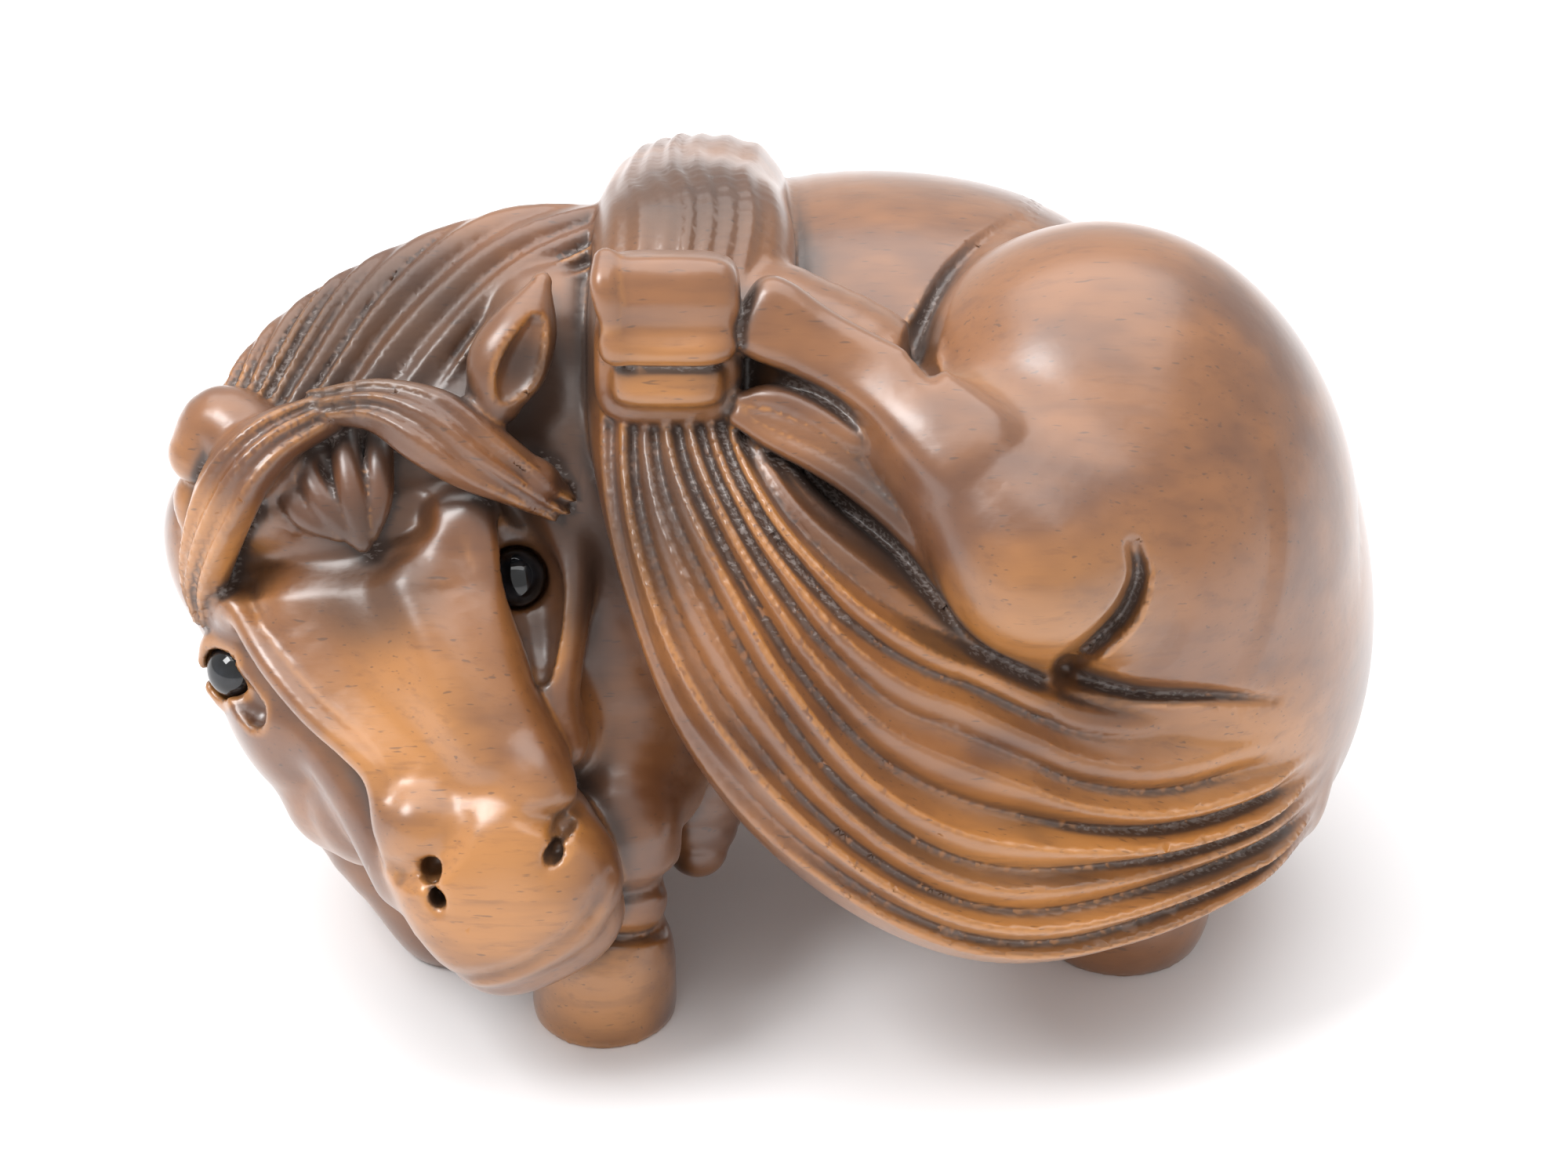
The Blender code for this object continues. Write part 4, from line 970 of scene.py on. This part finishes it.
def black_horn(colour):
    """Black buffalo horn, turned to a bead and polished: near black, with a hard sharp highlight,
    and a faint cloudiness that only shows close up."""
    material = bpy.data.materials.new("polished black horn")
    material.use_nodes = True
    tree = material.node_tree
    shader = tree.nodes["Principled BSDF"]
    place = add_node(tree, "ShaderNodeTexCoord").outputs["Object"]
    cloud = add_node(tree, "ShaderNodeTexNoise", {
        "Vector": place, "Scale": 1 / (HORN_CLOUD * MM), "Detail": 2.0})
    share = add_node(tree, "ShaderNodeMapRange", {
        "Value": cloud.outputs["Fac"], "From Min": 0.4, "From Max": 0.75}).outputs[0]
    mix = add_node(tree, "ShaderNodeMix", {0: share, 6: linear(colour), 7: linear(HORN_CLOUD_COLOUR)},
                   data_type="RGBA")
    tree.links.new(mix.outputs[2], shader.inputs["Base Color"])
    shader.inputs["Roughness"].default_value = 0.05
    shader.inputs["IOR"].default_value = 1.56
    return material


def matt_paper(colour):
    """White photographic paper: matt, even and without a visible texture."""
    material = bpy.data.materials.new("matt white paper")
    material.use_nodes = True
    shader = material.node_tree.nodes["Principled BSDF"]
    shader.inputs["Base Color"].default_value = linear(colour)
    shader.inputs["Roughness"].default_value = 0.9
    return material


# What a user can set

def colour_property(name, place, default):
    """An sRGB hex colour that a user can change."""
    return bpy.props.StringProperty(name=name, description="sRGB colour of " + place, default=default)


class NetsukeCarving(bpy.types.PropertyGroup):
    step: bpy.props.FloatProperty(
        name="Grid", description="Edge of the cells that the carving is sampled in, in millimetres",
        default=STEP, min=0.15, max=1.0)
    triangles: bpy.props.IntProperty(
        name="Triangles", description="Most triangles that the carved surface keeps",
        default=TRIANGLES, min=5000, max=199000)


class NetsukeFinish(bpy.types.PropertyGroup):
    stain: colour_property("Stain", "the stained wood", "8b5930")
    stain_dark: colour_property("Dark stain", "the wood where the stain took more", "643d24")
    # the yellow wood, used both for wear and for painted light on flanks that face down or aside
    wear_and_light: colour_property("Worn wood", "the wood where hands rubbed it", "ba7d3e")
    # the dark wax, used in the cuts and also for painted shade in the dark spots and the wide hollows
    patina_and_shade: colour_property("Patina", "the dark wax in the cuts", "3a2b24")
    dust: colour_property("Dust", "the dust in the cuts", "b4a8a2")
    bead: colour_property("Bead", "the eye beads", "07080a")
    gloss: bpy.props.FloatProperty(
        name="Roughness", description="Roughness of the waxed wood", default=0.36,
        min=0.1, max=0.9, subtype="FACTOR")


class NetsukeStudio(bpy.types.PropertyGroup):
    floor: colour_property("Floor", "the floor", "f4f3f4")
    sky: bpy.props.FloatProperty(
        name="Light all round", description="Strength of the even light", default=0.78,
        min=0.0, max=5.0)
    lamp: bpy.props.FloatProperty(
        name="Lamp above", description="Power of the soft lamp above", default=1.05,
        min=0.0, max=10.0, unit="POWER")
    side_lamp: bpy.props.FloatProperty(
        name="Lamp at the side", description="Power of the lamp at the left, that gives the highlights",
        default=0.35, min=0.0, max=10.0, unit="POWER")


# Operators

class NETSUKE_OT_carving(bpy.types.Operator):
    """Carves the horse: samples the field, meshes it, thins it out and gives it its finish"""
    bl_idname = "netsuke.carving"
    bl_label = "Carved horse"

    def execute(self, context):
        settings = context.scene.netsuke_carving
        values = sampled(lambda points, reach: carve(points, reach).distances, LOW, HIGH, settings.step)
        vertices, quads = outer_shell(*surface_quads(values, LOW, settings.step))
        rough = new_mesh("rough carving", drawn_tight(vertices), quads)
        vertices, triangles = thinned(rough, settings.triangles)
        vertices = drawn_tight(vertices)
        vertices[:, 2] = np.maximum(vertices[:, 2], 0.0)
        mesh = new_mesh("carved_horse", (vertices - DRAWING_MIDDLE) * MM, triangles)
        for name, shares in surface_marks(vertices).items():
            keep_attribute(mesh, name, shares)
        horse = add_object("carved_horse", mesh)
        finish = context.scene.netsuke_finish
        mesh.materials.append(boxwood(finish, finish.gloss))
        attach(horse, "root")
        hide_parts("horse")
        return {"FINISHED"}


class NETSUKE_OT_eyes(bpy.types.Operator):
    """Makes the two round beads of the eyes"""
    bl_idname = "netsuke.eyes"
    bl_label = "Eye beads"

    def execute(self, context):
        horn = black_horn(context.scene.netsuke_finish.bead)
        for node, (centre, radius) in BEADS.items():
            vertices, triangles = bead_surface(centre, radius)
            mesh = new_mesh("bead_" + node, (vertices - DRAWING_MIDDLE) * MM, triangles)
            bead = add_object("bead_" + node, mesh)
            bead.data.materials.append(horn)
            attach(bead, "root")
            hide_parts(node)
        return {"FINISHED"}


class NETSUKE_OT_studio(bpy.types.Operator):
    """Sets up the pale floor, the soft light and the camera at the photograph's angle"""
    bl_idname = "netsuke.studio"
    bl_label = "Studio"

    def execute(self, context):
        studio = context.scene.netsuke_studio
        half = FLOOR_SIDE / 2
        corners = np.array([(-half, -half, 0), (half, -half, 0), (half, half, 0), (-half, half, 0)])
        floor = add_object("studio_floor", new_mesh("studio_floor", corners, np.array([[0, 1, 2, 3]])))
        floor.data.materials.append(matt_paper(studio.floor))
        world = bpy.data.worlds.new("even light")
        world.use_nodes = True
        world.node_tree.nodes["Background"].inputs["Color"].default_value = (1, 1, 1, 1)
        world.node_tree.nodes["Background"].inputs["Strength"].default_value = studio.sky
        context.scene.world = world
        context.scene.view_settings.view_transform = "Standard"
        add_lamp("soft lamp above", LAMP_PLACE, LAMP_SIDE, studio.lamp)
        add_lamp("soft lamp at the side", SIDE_LAMP_PLACE, SIDE_LAMP_SIDE, studio.side_lamp)
        add_camera()
        return {"FINISHED"}


def add_lamp(name, place, side, power):
    """A square area light that looks at the middle of the carving."""
    light = bpy.data.lights.new(name, "AREA")
    light.energy = power
    light.size = side
    lamp = bpy.data.objects.new(name, light)
    lamp.location = place
    lamp.rotation_euler = (AIM - Vector(place)).to_track_quat("-Z", "Y").to_euler()
    bpy.context.scene.collection.objects.link(lamp)


def add_camera():
    """The camera looks along +Y and down by the photograph's angle."""
    data = bpy.data.cameras.new("camera")
    data.sensor_width = SENSOR_WIDTH
    data.lens = CAMERA_FOCAL_PIXELS / PHOTO_WIDTH * SENSOR_WIDTH
    data.clip_start = 0.01
    data.clip_end = 10.0
    camera = bpy.data.objects.new("camera", data)
    back = Vector((0.0, -math.cos(CAMERA_DOWN), math.sin(CAMERA_DOWN)))
    camera.location = AIM + back * CAMERA_DISTANCE
    camera.rotation_euler = back.to_track_quat("Z", "Y").to_euler()
    bpy.context.scene.collection.objects.link(camera)
    bpy.context.scene.camera = camera


class NETSUKE_PT_panel(bpy.types.Panel):
    """Lists the pieces and what can be set"""
    bl_label = "Netsuke"
    bl_idname = "NETSUKE_PT_panel"
    bl_space_type = "VIEW_3D"
    bl_region_type = "UI"
    bl_category = "Netsuke"

    def draw(self, context):
        scene = context.scene
        for operator, group in ((NETSUKE_OT_carving, scene.netsuke_carving),
                                (NETSUKE_OT_eyes, scene.netsuke_finish),
                                (NETSUKE_OT_studio, scene.netsuke_studio)):
            box = self.layout.box()
            box.operator(operator.bl_idname)
            for name in group.bl_rna.properties.keys():
                if name not in ("rna_type", "name"):
                    box.prop(group, name)


GROUPS = {"netsuke_carving": NetsukeCarving, "netsuke_finish": NetsukeFinish,
          "netsuke_studio": NetsukeStudio}
OPERATORS = (NETSUKE_OT_carving, NETSUKE_OT_eyes, NETSUKE_OT_studio)


def register():
    for thing in (*GROUPS.values(), *OPERATORS, NETSUKE_PT_panel):
        bpy.utils.register_class(thing)
    for name, group in GROUPS.items():
        setattr(bpy.types.Scene, name, bpy.props.PointerProperty(type=group))


def unregister():
    for name in GROUPS:
        delattr(bpy.types.Scene, name)
    for thing in (NETSUKE_PT_panel, *OPERATORS, *GROUPS.values()):
        bpy.utils.unregister_class(thing)


def main():
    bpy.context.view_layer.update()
    register()
    bpy.ops.netsuke.carving()
    bpy.ops.netsuke.eyes()
    bpy.ops.netsuke.studio()


if __name__ == "__main__":
    main()
